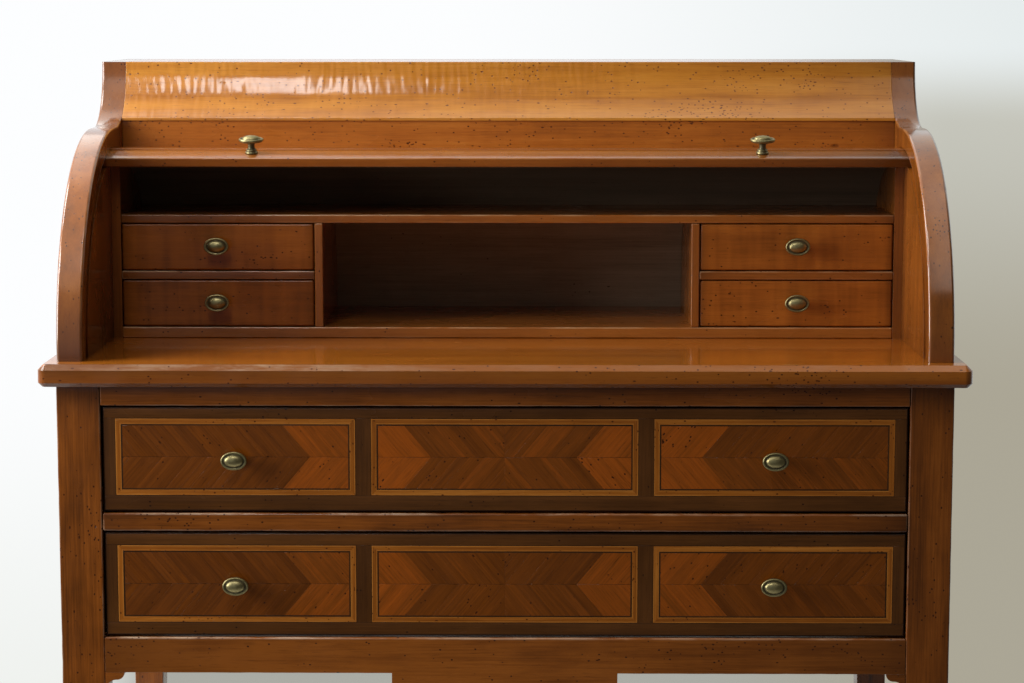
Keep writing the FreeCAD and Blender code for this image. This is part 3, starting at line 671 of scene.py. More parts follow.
def shaded_board_front(spot, low, high):
    """Painted shade on the front edge of the board, and on its chamfer most at the left."""
    if spot.y > low.y + BOARD_CHAMFER:
        return 0.0
    if spot.z < high.z - BOARD_CHAMFER:
        return FRONT_EDGE_SHADE
    return CHAMFER_SHADE * (1.0 - CHAMFER_FADE * (spot.x - low.x) / (high.x - low.x))


def lit_board_front(spot, low, high):
    """Painted light: the front of the board's top is lighter than its back."""
    if spot.z < high.z - BOARD_CHAMFER:
        return 0.0
    return LIT_FRONT_TONE * math.exp(-(spot.y - low.y) / LIT_FRONT_REACH)


def glint_on_chamfer(mesh):
    """A painted highlight on the board's chamfer, brightest left of the middle, laid on as the pale worn
    colour.
    """
    layer = mesh.attributes["arris"]
    for item, face in zip(layer.data, mesh.polygons):
        if CHAMFER_LEAN[0] < face.normal.z < CHAMFER_LEAN[1] and face.normal.y < 0:
            busy = math.exp(-((face.center.x - GLINT_CENTRE) / GLINT_REACH) ** 2)
            item.value = GLINT_LEAST + (1.0 - GLINT_LEAST) * busy


def hand_planed(spot, low, high):
    """The left half of the cove keeps the waves of a hand plane."""
    return faded(spot.x, QUIET_FROM, QUIET_TO)


def shaded_pigeonhole(amount):
    """Painted shade in the open shelf over the small drawers, deeper to the right."""
    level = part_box("nest_shelf")[1].z

    def value_at(spot, low, high):
        inside = faded(spot.y, low.y + DUSK_EDGE, low.y)
        above = faded(spot.z, level + DUSK_REACH, level)
        return amount * inside * above * faded(spot.x, DUSK_TO, DUSK_FROM)

    return value_at


def shaded_rim(spot, low, high):
    """Painted shade round the front arris of a drawer, in the gap around it."""
    return RIM_SHADE * faded(spot.y, low.y + RIM_SHADE_FULL, low.y + RIM_SHADE_END)


def even(amount):
    """One board lighter or darker than others of its wood; on some pieces this is painted light and
    shade.
    """
    return lambda spot, low, high: amount


def write_band(mesh):
    """Marks the curved front of an upper side, polished more than its flat faces and painted lighter than
    them, each side's tones set for how it is lit.
    """
    band = mesh.attributes.new("band", "FLOAT", "FACE")
    tone = mesh.attributes.new("tone", "FLOAT", "FACE")
    for polish, lightness, face in zip(band.data, tone.data, mesh.polygons):
        curved = abs(face.normal.x) < ROUND_TO and face.normal.y < REAR_FACING
        polish.value = 1.0 if curved else 0.0
        tones = CURVED_TONE if curved else FLAT_TONE
        lightness.value = tones["left" if face.center.x < 0 else "right"]


def finish_node(
    node, material, along, arris=0.8, change=None, cuts="", wobble=0.0, rounds=False, shade=None,
    tone=None, top_arris=0.0, planed=None, rubbed=None,
):
    """Puts a node's finished mesh in its place. Lengths are in millimetres."""
    mesh = softened(node, arris * MM, change, cuts, wobble * MM, rounds, top_arris * MM)
    write_grain(mesh, along, board_offset(node))
    if shade:
        spread(mesh, "shade", shade)
    if tone:
        spread(mesh, "tone", tone)
    if planed:
        spread(mesh, "planed", planed)
    if rounds:
        write_band(mesh)
    if rubbed:
        rubbed(mesh)
    slot = nodes[node].data.materials[0].name
    return hand_in(node + "_finished", mesh, body_of_node[node], slot, material, [node])


COVE_CENTRE = Vector((0, 5.0 * MM, 1071.0 * MM))
COVE_RADIUS = 74.0 * MM
SIDE_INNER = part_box("upper_side_right")[0].x
SIDE_ROUND = 3.0 * MM
RIPPLE_PITCH = 9.5 * MM
RIPPLE_DEPTH = 0.065 * MM
COLUMN_PITCH = 1.7 * MM
ON_COVE = 0.3 * MM


def flush_with_cove(work):
    """Squares the inner arris of a side where the end of the cove lies against it."""
    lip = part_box("cove_moulding")[0].z
    for vertex in work.verts:
        out = Vector((0, vertex.co.y, vertex.co.z)) - COVE_CENTRE
        beside = abs(vertex.co.x) < SIDE_INNER + SIDE_ROUND - WELD
        near = COVE_RADIUS + WELD < out.length < COVE_RADIUS + SIDE_ROUND + WELD
        if beside and near and vertex.co.z > lip:
            edge = COVE_CENTRE + out.normalized() * COVE_RADIUS
            vertex.co.y = edge.y
            vertex.co.z = edge.z


WANDER_ALONG, WANDER_UP, WANDER_LAYER = 14, 22, 3.0
WANDER_TURNS = 1.6
PATCH_ALONG, PATCH_UP, PATCH_LAYER = 9, 18, 8.0
PATCH_MEAN = 0.95
PATCH_SPREAD = 0.5
PATCH_LEAST = 0.05
FINE_PITCH = 1.7
FINE_SHARE = 0.5
FINE_START = 1.0
STILL_CENTRE = -270.0 * MM
STILL_REACH = 28.0 * MM
STILL_SHARE = 0.65
SMOOTH_FROM = 1036.0 * MM
SMOOTH_TO = 1020.0 * MM


def ripple_at(spot):
    """How far a plane's chatter lifts the cove at a place."""
    wander = noise.noise(Vector((spot.x * WANDER_ALONG, spot.z * WANDER_UP, WANDER_LAYER)))
    cloud = noise.noise(Vector((spot.x * PATCH_ALONG, spot.z * PATCH_UP, PATCH_LAYER)))
    patch = PATCH_MEAN + PATCH_SPREAD * cloud
    patch -= STILL_SHARE * math.exp(-((spot.x - STILL_CENTRE) / STILL_REACH) ** 2)
    patch *= faded(spot.x, QUIET_FROM, QUIET_TO) * faded(spot.z, SMOOTH_FROM, SMOOTH_TO)
    turn = 2 * math.pi * (spot.x / RIPPLE_PITCH + WANDER_TURNS * wander)
    wave = math.sin(turn) + FINE_SHARE * math.sin(FINE_PITCH * turn + FINE_START)
    return RIPPLE_DEPTH * max(PATCH_LEAST, patch) * wave


def ripple(work):
    """Sweeps the cove's own end shape from end to end in short steps, with the plane's ripples."""
    end = min(work.faces, key=lambda face: face.calc_center_median().x)
    shape = [vertex.co.copy() for vertex in end.verts]
    start = shape[0].x
    stop = max(vertex.co.x for vertex in work.verts)
    work.clear()
    columns = int((stop - start) / COLUMN_PITCH)
    rings = []
    for i in range(columns + 1):
        ring = []
        for corner in shape:
            spot = Vector((start + (stop - start) * i / columns, corner.y, corner.z))
            inward = COVE_CENTRE - Vector((0, spot.y, spot.z))
            if abs(inward.length - COVE_RADIUS) < ON_COVE:
                spot += inward.normalized() * ripple_at(spot)
            ring.append(work.verts.new(spot))
        rings.append(ring)
    for near, far in zip(rings, rings[1:]):
        for j in range(len(shape)):
            work.faces.new((near[j - 1], near[j], far[j], far[j - 1]))
    work.faces.new(rings[0])
    work.faces.new(rings[-1][::-1])
    bmesh.ops.recalc_face_normals(work, faces=work.faces)


# The right stile is set darker than the left: painted shade away from the light.
STILE_TONE = {"left": -0.06, "right": -0.13}
for end in ("left", "right"):
    finish_node(
        f"leg_front_{end}", case_cherry, "z", arris=1.6, cuts="z", wobble=0.6, shade=shaded_ends("z", 22.0),
        tone=even(STILE_TONE[end]),
    )
    finish_node(f"leg_rear_{end}", case_cherry, "z", arris=1.6, cuts="z", wobble=0.6)
    finish_node(f"side_panel_{end}", case_cherry, "y", arris=0.6)
    finish_node(
        f"upper_side_{end}", side_cherry, "z", arris=0.5, change=flush_with_cove, wobble=0.5, rounds=True,
        shade=shaded_foot_and_head,
    )
    finish_node(
        f"nest_side_{end}", nest_cherry, "z", arris=0.9, cuts="z", shade=shaded_pigeonhole(1.0), tone=even(-0.12),
    )
    finish_node(f"nest_divider_{end}", nest_cherry, "z", arris=1.5, cuts="z", wobble=0.35)
    finish_node(
        f"drawer_shelf_{end}", nest_cherry, "x", arris=1.5, cuts="x", wobble=0.35,
        shade=shaded_ends("x", 15.0),
    )
finish_node("top_rail", case_cherry, "x", arris=1.4, cuts="xz", wobble=0.5, shade=shadow_under_board)
finish_node(
    "mid_rail", case_cherry, "x", arris=2.2, cuts="x", wobble=0.7, shade=shaded_ends("x", 60.0, 0.18),
    tone=even(-0.06),
)
finish_node(
    "bottom_rail", case_cherry, "x", arris=0.9, cuts="x", wobble=0.5, shade=shaded_ends("x", 150.0),
    tone=even(0.21), top_arris=2.2,
)
finish_node("corner_brackets", case_cherry, "x", arris=1.0)
finish_node(
    "writing_board", board_cherry, "x", arris=1.3, cuts="xy", wobble=0.5, shade=shaded_board_front, tone=lit_board_front,
    rubbed=glint_on_chamfer,
)
finish_node(
    "cove_moulding", cove_cherry, "x", arris=0.5, change=ripple, shade=shaded_cove_end, planed=hand_planed,
)
finish_node("crown_board", board_cherry, "x", arris=0.8)
finish_node("fascia_rail", fascia_cherry, "x", arris=0.6, cuts="x", shade=shaded_ends("x", 24.0))
finish_node("lid_panel", lid_cherry, "x", arris=0.6)
finish_node(
    "lid_front_rail", lid_cherry, "x", arris=1.8, cuts="x", wobble=0.4, shade=shaded_ends("x", 50.0, 0.45),
)
finish_node("nest_base", nest_cherry, "x", arris=1.6, cuts="x", wobble=0.4, tone=even(0.18))
finish_node(
    "nest_shelf", nest_cherry, "x", arris=1.6, cuts="x", wobble=0.4, shade=shaded_ends("x", 15.0),
)
finish_node("nest_back", inside_walnut, "x", arris=0.4, cuts="xz", shade=shaded_pigeonhole(0.62))
for level in ("upper", "lower"):
    finish_node(f"back_panel_{level}", back_walnut, "x", arris=0.6)
for strips in ("runners", "guides", "kickers"):
    finish_node(f"drawer_{strips}", lining_poplar, "y", arris=0.6)

LARGE_DRAWERS = ("upper_drawer", "lower_drawer")
# Upper and right-hand small fronts are set lighter, lower and left-hand ones darker: painted light and
# shade.
ROW_TONE = {"upper": 0.05, "lower": -0.05}
END_TONE = {"left": -0.03, "right": 0.07}
SMALL_DRAWERS = {
    f"nest_drawer_{row}_{end}": ROW_TONE[row] + END_TONE[end] for row in ROW_TONE for end in END_TONE
}
for drawer in LARGE_DRAWERS:
    finish_node(f"{drawer}_side_left", lining_poplar, "y", arris=0.5)
    finish_node(f"{drawer}_side_right", lining_poplar, "y", arris=0.5)
    finish_node(f"{drawer}_back", lining_poplar, "x", arris=0.6)
    finish_node(f"{drawer}_bottom", lining_poplar, "x", arris=0.4)
for drawer, lightness in SMALL_DRAWERS.items():
    finish_node(
        f"{drawer}_front", small_front_cherry, "x", arris=2.2, cuts="x", shade=shaded_ends("x", 7.0),
        tone=even(lightness),
    )
    finish_node(f"{drawer}_box", lining_poplar, "y", arris=0.5)


# Large drawer fronts: a core under border, strings and matched veneers

VENEER = 0.6 * MM
VENEER_EASE = 0.12 * MM
STRING_EASE = 0.05 * MM
OUTER_EASE = 0.5 * MM
RIM_ROUND = 1.6 * MM
RIM_STEPS = 4
PANEL_NEAR = 158.7 * MM
PANEL_FAR = 413.2 * MM
CENTRE_HALF = 141.7 * MM
PANEL_LEVELS = {
    "upper_drawer": (617.5 * MM, 699.7 * MM),
    "lower_drawer": (479.6 * MM, 562.9 * MM),
}
STRINGS = [
    ("dark", -0.5 * MM, 0.0, 0.0),
    ("light", 0.0, 1.1 * MM, 0.16),
    ("light", 1.1 * MM, 4.7 * MM, -0.08),
    ("light", 4.7 * MM, 5.8 * MM, 0.10),
    ("dark", 5.8 * MM, 7.4 * MM, 0.0),
]
DARK_LINE = 0.5 * MM
STRING_WIDTH = 7.4 * MM
CHEVRON_RUN = 28.5 * MM
SLIVER = 2e-6


class Leaves:
    """Flat veneers in one mesh, each with its own grain direction and tone."""

    def __init__(self, name, face):
        self.name = name
        self.face = face
        self.work = bmesh.new()
        self.grain = self.work.verts.layers.float_vector.new("grain")
        self.arris = self.work.faces.layers.float.new("arris")
        self.tone = self.work.faces.layers.float.new("tone")
        self.draw = random.Random(name)

    def lay(self, outline, angle, tone=0.0, ease=VENEER_EASE):
        """One leaf with eased edges. Its outline is in x and z and may run either way round."""
        if area_of(outline) < 0:
            outline = outline[::-1]
        shift = Vector([self.draw.uniform(0, 9) for _ in range(3)])
        turn = Matrix.Rotation(-angle, 2)

        def ring(points, depth):
            made = []
            for point in points:
                vertex = self.work.verts.new((point[0], self.face + depth, point[1]))
                along, across = turn @ Vector(point)
                vertex[self.grain] = Vector((along, across, depth)) + shift
                made.append(vertex)
            return made

        inner = shrunk(outline, ease)
        rings = [ring(inner, 0.0), ring(outline, ease), ring(outline, VENEER)]
        faces = [self.work.faces.new(rings[0])]
        for upper, lower in zip(rings, rings[1:]):
            for i in range(len(outline)):
                j = (i + 1) % len(outline)
                side = self.work.faces.new((upper[i], lower[i], lower[j], upper[j]))
                faces.append(side)
                if upper is rings[0]:
                    side[self.arris] = 1.0
        faces.append(self.work.faces.new(rings[2][::-1]))
        for face in faces:
            face[self.tone] = tone

    def done(self, body, slot, material, replaced=()):
        bmesh.ops.recalc_face_normals(self.work, faces=self.work.faces)
        mesh = bpy.data.meshes.new(self.name)
        self.work.to_mesh(mesh)
        self.work.free()
        return hand_in(self.name, mesh, body, slot, material, replaced)


def area_of(outline):
    total = 0.0
    for (x0, z0), (x1, z1) in zip(outline, outline[1:] + outline[:1]):
        total += x0 * z1 - x1 * z0
    return total / 2


def shrunk(outline, inset):
    """A convex outline, run counter-clockwise, with every edge moved inwards."""
    lines = []
    for (x0, z0), (x1, z1) in zip(outline, outline[1:] + outline[:1]):
        edge = Vector((x1 - x0, z1 - z0)).normalized()
        normal = Vector((-edge.y, edge.x))
        lines.append((Vector((x0, z0)) + normal * inset, edge))
    corners = []
    for i in range(len(lines)):
        (start, run), (other, other_run) = lines[i - 1], lines[i]
        turn = run.x * other_run.y - run.y * other_run.x
        gap = other - start
        reach = (gap.x * other_run.y - gap.y * other_run.x) / turn
        corners.append(tuple(start + run * reach))
    return corners


def clipped(outline, point, normal):
    """The part of a convex outline on the normal's side of a line through the point."""
    kept = []
    for a, b in zip(outline, outline[1:] + outline[:1]):
        side_a = (a[0] - point[0]) * normal[0] + (a[1] - point[1]) * normal[1]
        side_b = (b[0] - point[0]) * normal[0] + (b[1] - point[1]) * normal[1]
        if side_a >= 0:
            kept.append(a)
        if (side_a > 0) != (side_b > 0) and side_a != side_b:
            share = side_a / (side_a - side_b)
            kept.append((a[0] + (b[0] - a[0]) * share, a[1] + (b[1] - a[1]) * share))
    return true_corners(kept)


def true_corners(outline):
    """An outline without repeated points and points on a straight edge."""
    apart = [
        spot for i, spot in enumerate(outline)
        if (Vector(spot) - Vector(outline[i - 1])).length > WELD
    ]
    kept = []
    for i, spot in enumerate(apart):
        before = Vector(spot) - Vector(apart[i - 1])
        after = Vector(apart[(i + 1) % len(apart)]) - Vector(spot)
        if before.length and after.length and before.angle(after) > STRAIGHT:
            kept.append(spot)
    return kept


def box_outline(x0, x1, z0, z1):
    return [(x0, z0), (x1, z0), (x1, z1), (x0, z1)]


def frame_outlines(x0, x1, z0, z1, outer, inner):
    """Four mitred strips between two insets of a rectangle, with their directions."""
    a = box_outline(x0 + outer, x1 - outer, z0 + outer, z1 - outer)
    b = box_outline(x0 + inner, x1 - inner, z0 + inner, z1 - inner)
    strips = []
    for i in range(4):
        j = (i + 1) % 4
        strips.append(([a[i], a[j], b[j], b[i]], 0.0 if i % 2 == 0 else math.pi / 2))
    return strips


JOINT = 0.15 * MM
PALE_TONE = 0.24
LEAF_WIDTHS = (6, 9, 14, 22)
LEAF_WIDTH_VARIES = (0.7, 1.3)
LEAF_TONE_VARIES = 0.014
STREAK_TONE = 0.035
STREAK_CHANCE = 0.2
HALF_TONE = {"lower": 0.01, "upper": -0.02}
SHADE_BESIDE_ARROW = -0.06


def leaf_cuts(name, length, lean):
    """Widths and tones of the slanting leaves of one half, mostly quiet with a few light streaks."""
    draw = random.Random(name)
    cuts = []
    reach = 0.0
    while reach < length:
        width = draw.choice(LEAF_WIDTHS) * draw.uniform(*LEAF_WIDTH_VARIES) * MM
        streak = STREAK_TONE if draw.random() < STREAK_CHANCE else 0.0
        tone = lean + streak + draw.uniform(-LEAF_TONE_VARIES, LEAF_TONE_VARIES)
        if reach == 0.0:
            tone += SHADE_BESIDE_ARROW
        cuts.append((reach, reach + width, tone))
        reach += width
    return cuts


# The lower drawer's veneers are set darker than the upper's: painted shade.
DRAWER_TONE = {"upper_drawer": -0.01, "lower_drawer": -0.09}
LEFT_TONE = -0.09
# The top border is set lighter to offset the shadow under the board's overhang: painted light.
BORDER_TONE = {"top": 0.15, "bottom": 0.0, "left": -0.08, "upright": 0.02}
STRING_TONE_VARIES = 0.05
ARROW_LEFT = 0.17
ARROW_RIGHT = 0.18
ARROW_CENTRE = (0.21, 0.215)


def chevron_field(leaves, x0, x1, z0, z1, apex, points_right, orange_left, tint):
    """Two halves of slanting leaves that meet on the middle line, with a lighter end."""
    middle = (z0 + z1) / 2
    slope = math.atan2((z1 - z0) / 2, CHEVRON_RUN)
    for half, lean in HALF_TONE.items():
        lower = half == "lower"
        level = (z0, middle - JOINT) if lower else (middle + JOINT, z1)
        field = box_outline(x0, x1, *level)
        angle = -slope if points_right != lower else slope
        across = Vector((abs(math.sin(angle)), -math.copysign(math.cos(angle), angle)))
        away = across if orange_left else -across
        tip = (apex, middle)
        pale = clipped(field, tip, -away)
        plain = clipped(field, tip, away)
        if len(pale) > 2:
            leaves.lay(pale, angle, PALE_TONE + lean + tint)
        cuts = leaf_cuts(f"{leaves.name}{half}{x0:.4f}", x1 - x0 + CHEVRON_RUN, lean)
        for start, end, tone in cuts:
            near = (tip[0] + away.x * start, tip[1] + away.y * start)
            far = (tip[0] + away.x * end, tip[1] + away.y * end)
            strip = clipped(plain, near, away)
            strip = clipped(strip, far, -away) if len(strip) > 2 else strip
            if len(strip) > 2 and abs(area_of(strip)) > SLIVER:
                leaves.lay(strip, angle, tone + tint)


def veneer_front(drawer):
    node = f"{drawer}_front"
    low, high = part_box(node)
    face = low.y
    foot, head = PANEL_LEVELS[drawer]

    def room_for_veneer(work):
        for vertex in work.verts:
            if abs(vertex.co.y - face) < WELD:
                vertex.co.y = face + VENEER
        rim = [
            edge for edge in work.edges
            if all(abs(vertex.co.y - face - VENEER) < WELD for vertex in edge.verts)
        ]
        bmesh.ops.bevel(
            work, geom=rim, offset=RIM_ROUND, offset_type="OFFSET", segments=RIM_STEPS, profile=0.5,
            affect="EDGES", clamp_overlap=True,
        )

    finish_node(node, border_walnut, "x", arris=0.25, change=room_for_veneer, shade=shaded_rim)
    panels = [
        ("left", -PANEL_FAR, -PANEL_NEAR),
        ("centre", -CENTRE_HALF, CENTRE_HALF),
        ("right", PANEL_NEAR, PANEL_FAR),
    ]
    slot = "drawer_front_wood"
    border = Leaves(f"{drawer}_border", face)
    light = Leaves(f"{drawer}_light_strings", face)
    dark = Leaves(f"{drawer}_dark_strings", face)
    field = Leaves(f"{drawer}_veneers", face)
    left, right = low.x + RIM_ROUND, high.x - RIM_ROUND
    edges = [left] + [x for _, x0, x1 in panels for x in (x0 - DARK_LINE, x1 + DARK_LINE)] + [right]
    across = math.pi / 2
    top = box_outline(left, right, head + DARK_LINE, high.z - RIM_ROUND)
    bottom = box_outline(left, right, low.z + RIM_ROUND, foot - DARK_LINE)
    border.lay(top, 0.0, BORDER_TONE["top"], OUTER_EASE)
    border.lay(bottom, 0.0, BORDER_TONE["bottom"], OUTER_EASE)
    for start, end in zip(edges[::2], edges[1::2]):
        outline = box_outline(start, end, foot - DARK_LINE, head + DARK_LINE)
        border.lay(outline, across, BORDER_TONE["left" if start == left else "upright"])
    for _, x0, x1 in panels:
        for shade, outer, inner, tone in STRINGS:
            leaves = light if shade == "light" else dark
            for outline, angle in frame_outlines(x0, x1, foot, head, outer, inner):
                varied = tone + leaves.draw.uniform(-STRING_TONE_VARIES, STRING_TONE_VARIES)
                leaves.lay(outline, angle, varied, STRING_EASE)
    z0, z1 = foot + STRING_WIDTH, head - STRING_WIDTH
    tint = DRAWER_TONE[drawer]
    for name, x0, x1 in panels:
        x0, x1 = x0 + STRING_WIDTH, x1 - STRING_WIDTH
        width = x1 - x0
        if name == "left":
            chevron_field(field, x0, x1, z0, z1, x1 - ARROW_LEFT * width, True, False, tint + LEFT_TONE)
        elif name == "right":
            chevron_field(field, x0, x1, z0, z1, x0 + ARROW_RIGHT * width, False, True, tint)
        else:
            middle = (x0 + x1) / 2
            chevron_field(field, x0, middle, z0, z1, x0 + ARROW_CENTRE[0] * width, True, True, tint)
            chevron_field(field, middle, x1, z0, z1, x1 - ARROW_CENTRE[1] * width, False, False, tint)
    border.done(drawer, slot, border_walnut)
    light.done(drawer, slot, light_string)
    dark.done(drawer, slot, dark_string)
    field.done(drawer, slot, leaf_veneer)


for drawer in LARGE_DRAWERS:
    veneer_front(drawer)


# Knobs

KNOB_RINGS = [
    (6.9, 6.9, 0.0, 0.6), (7.0, 7.0, 0.8, 0.3), (6.9, 6.9, 1.8, 0.2), (6.3, 6.3, 2.4, 0.4),
    (5.6, 5.6, 2.7, 0.9), (5.7, 5.7, 3.2, 0.5), (5.9, 5.9, 3.9, 0.3), (5.5, 5.5, 4.7, 0.4),
    (4.4, 4.4, 5.2, 0.8), (3.9, 3.9, 6.0, 0.8), (3.8, 3.8, 8.0, 0.7), (3.8, 3.8, 10.4, 0.7),
    (4.3, 4.1, 11.4, 0.7), (6.4, 5.2, 12.1, 0.6), (9.8, 7.2, 12.6, 0.4), (12.2, 8.8, 13.2, 0.2),
    (13.6, 9.7, 14.2, 0.05), (14.0, 10.0, 15.3, 0.0), (13.8, 9.8, 16.4, 0.0), (13.2, 9.3, 17.0, 0.0),
    (12.4, 8.6, 17.1, 0.1), (11.7, 8.0, 16.8, 0.5), (11.1, 7.5, 16.4, 0.9), (10.5, 7.0, 16.3, 0.9),
    (10.1, 6.7, 16.6, 0.6), (9.8, 6.4, 17.3, 0.2), (9.1, 5.9, 18.3, 0.0), (7.8, 5.0, 19.1, 0.0),
    (5.8, 3.7, 19.8, 0.0), (3.4, 2.2, 20.2, 0.0), (1.6, 1.0, 20.4, 0.0),
]
KNOB_CROWN = 20.5
KNOB_SIDES = 48


def knobs(name, node, stands, body):
    """Oval knobs turned from rings, each stood at a place along a direction."""
    work = bmesh.new()
    mark = work.verts.layers.float.new("hollow")
    for base, direction in stands:
        direction = direction.normalized()
        wide = Vector((1, 0, 0))
        tall = direction.cross(wide).normalized()
        rings = []
        for width, height, rise, hollow in KNOB_RINGS:
            ring = []
            for i in range(KNOB_SIDES):
                angle = 2 * math.pi * i / KNOB_SIDES
                spot = base + direction * (rise * MM)
                spot += wide * (math.cos(angle) * width * MM) + tall * (math.sin(angle) * height * MM)
                vertex = work.verts.new(spot)
                vertex[mark] = hollow
                ring.append(vertex)
            rings.append(ring)
        for lower, upper in zip(rings, rings[1:]):
            for i in range(KNOB_SIDES):
                j = (i + 1) % KNOB_SIDES
                work.faces.new((lower[i], lower[j], upper[j], upper[i]))
        crown = work.verts.new(base + direction * (KNOB_CROWN * MM))
        for i in range(KNOB_SIDES):
            work.faces.new((rings[-1][i], rings[-1][(i + 1) % KNOB_SIDES], crown))
        work.faces.new(rings[0][::-1])
    bmesh.ops.recalc_face_normals(work, faces=work.faces)
    mesh = bpy.data.meshes.new(name)
    work.to_mesh(mesh)
    work.free()
    return hand_in(name, mesh, body, "knob_brass", brass, [node])


KNOB_SPREAD = 286.0 * MM
OUTWARD = Vector((0, -1, 0))
for drawer in LARGE_DRAWERS:
    low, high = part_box(f"{drawer}_knobs")
    level = (low.z + high.z) / 2
    stands = [(Vector((side * KNOB_SPREAD, high.y, level)), OUTWARD) for side in (-1, 1)]
    knobs(f"{drawer}_oval_knobs", f"{drawer}_knobs", stands, drawer)
for drawer in SMALL_DRAWERS:
    low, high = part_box(f"{drawer}_knob")
    base = Vector(((low.x + high.x) / 2, high.y, (low.z + high.z) / 2))
    knobs(f"{drawer}_oval_knob", f"{drawer}_knob", [(base, OUTWARD)], drawer)
LID_AXIS = Vector((0, -14.0 * MM, 767.0 * MM))
LID_RADIUS = 208.0 * MM
LID_EDGE_ANGLE = math.radians(106.8)
LID_KNOB_ANGLE = LID_EDGE_ANGLE - math.radians(5.1)
lid_up = Vector((0, math.cos(LID_KNOB_ANGLE), math.sin(LID_KNOB_ANGLE)))
lid_stands = [
    (LID_AXIS + lid_up * LID_RADIUS + Vector((side * KNOB_SPREAD, 0, 0)), lid_up) for side in (-1, 1)
]
knobs("lid_oval_knobs", "lid_knobs", lid_stands, "lid")


# Stage, light and camera

FLOOR_REACH = 1.5
FLOOR_FADE = (0.6, 1.4)
FLOOR_PLACE = (0.0, 0.1, -0.5 * MM)
FLOOR_DARK = (0.68, 0.68, 0.66)
FLOOR_LIGHT = (0.74, 0.74, 0.72)
FLOOR_BOUNCE = (0.12, 0.12, 0.12, 1.0)


def pale_floor():
    work = bmesh.new()
    bmesh.ops.create_circle(work, cap_ends=True, segments=96, radius=FLOOR_REACH)
    mesh = bpy.data.meshes.new("pale_floor")
    work.to_mesh(mesh)
    work.free()
    floor = bpy.data.objects.new("pale_floor", mesh)
    floor.location = FLOOR_PLACE
    bpy.context.scene.collection.objects.link(floor)
    floor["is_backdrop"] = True
    material, g, shader = start_material("pale_floor")
    place = g.add("ShaderNodeTexCoord").outputs["Object"]
    mottle = g.cloud(place, (3.0, 3.0, 3.0), 3.0)
    pale = g.ramp(mottle, [(0.3, FLOOR_DARK), (0.7, FLOOR_LIGHT)])
    ray = g.add("ShaderNodeLightPath").outputs
    seen = g.math("MAXIMUM", ray["Is Camera Ray"], ray["Is Glossy Ray"])
    seen = g.math("MAXIMUM", seen, ray["Is Transmission Ray"])
    g.feed(shader.inputs["Base Color"], g.mix(seen, FLOOR_BOUNCE, pale))
    shader.inputs["Roughness"].default_value = 0.7
    reach = g.add("ShaderNodeVectorMath", {0: place}, operation="LENGTH").outputs["Value"]
    clear = g.add("ShaderNodeBsdfTransparent").outputs[0]
    blend = g.add("ShaderNodeMixShader", {0: g.span(reach, *FLOOR_FADE)})
    g.feed(blend.inputs[1], shader.outputs[0])
    g.feed(blend.inputs[2], clear)
    end = material.node_tree.nodes["Material Output"]
    g.feed(end.inputs["Surface"], blend.outputs[0])
    mesh.materials.append(material)


pale_floor()


# Where each part of the studio fades in: an axis of the unit direction, from none to full
STUDIO = {
    "wall_foot": ("z", -0.12, -0.28),
    "wall_right": ("x", -0.06, 0.24),
    "wall_shade": ("z", -0.010, -0.042),
    "shade_top": ("z", -0.15, -0.02),
    "shade_right": ("x", 0.06, 0.16),
    "straight_ahead": ("y", 0.90, 0.945),
    "over_floor": ("z", -0.31, -0.262),
    "under_rail": ("z", -0.243, -0.251),
    "low": ("z", 0.30, 0.22),
    "high": ("z", 0.45, 0.9),
    "far_left": ("x", -0.5, -0.95),
    "rear": ("y", 0.1, 0.6),
    "behind_desk": ("y", -0.04, 0.28),
    "zenith": ("z", 0.93, 0.96),
    "front": ("y", -0.6, -0.9),
    "front_left": ("x", 0.05, -0.12),
    "front_rise": ("z", -0.15, -0.11),
    "screen_rise": ("z", 0.44, 0.50),
    "left_screen_near": ("x", -0.155, -0.166),
    "left_screen_far": ("x", -0.26, -0.22),
    "left_screen_depth": ("y", 0.0, 0.35),
    "right_screen_near": ("x", 0.142, 0.148),
    "right_screen_far": ("x", 0.24, 0.20),
    "right_screen_depth": ("y", -0.1, 0.3),
}
BETWEEN_LEGS = (0.185, 0.14)
HIGH_LIGHT = (0.45, -0.35, 0.25, 1.0)
# The wall's greys are painted shade; the darkest, under and right of the desk, are the desk's painted
# shadow.
WALL = (0.98, 0.99, 1.0, 1.0)
WALL_FOOT = (0.86, 0.88, 0.85, 1.0)
WALL_RIGHT = (0.78, 0.83, 0.83, 1.0)
WALL_SHADE_LOW = (0.405, 0.378, 0.300)
WALL_SHADE_HIGH = (0.57, 0.57, 0.51)
WALL_UNDER_DESK = (0.40, 0.40, 0.36, 1.0)
WALL_MIRRORED = (0.40, 0.38, 0.33, 1.0)
ROOM = (0.080, 0.076, 0.068, 1.0)
ROOM_OPEN = (0.38, 0.38, 0.38, 1.0)
ROOM_TOP = (0.75, 0.73, 0.70, 1.0)
ROOM_FRONT = (0.26, 0.29, 0.32, 1.0)
LEFT_SCREEN = ((1.15, 1.08, 0.98, 1.0), (2.6, 2.5, 2.35, 1.0))
RIGHT_SCREEN = ((1.75, 1.65, 1.5, 1.0), (0.85, 0.80, 0.72, 1.0))


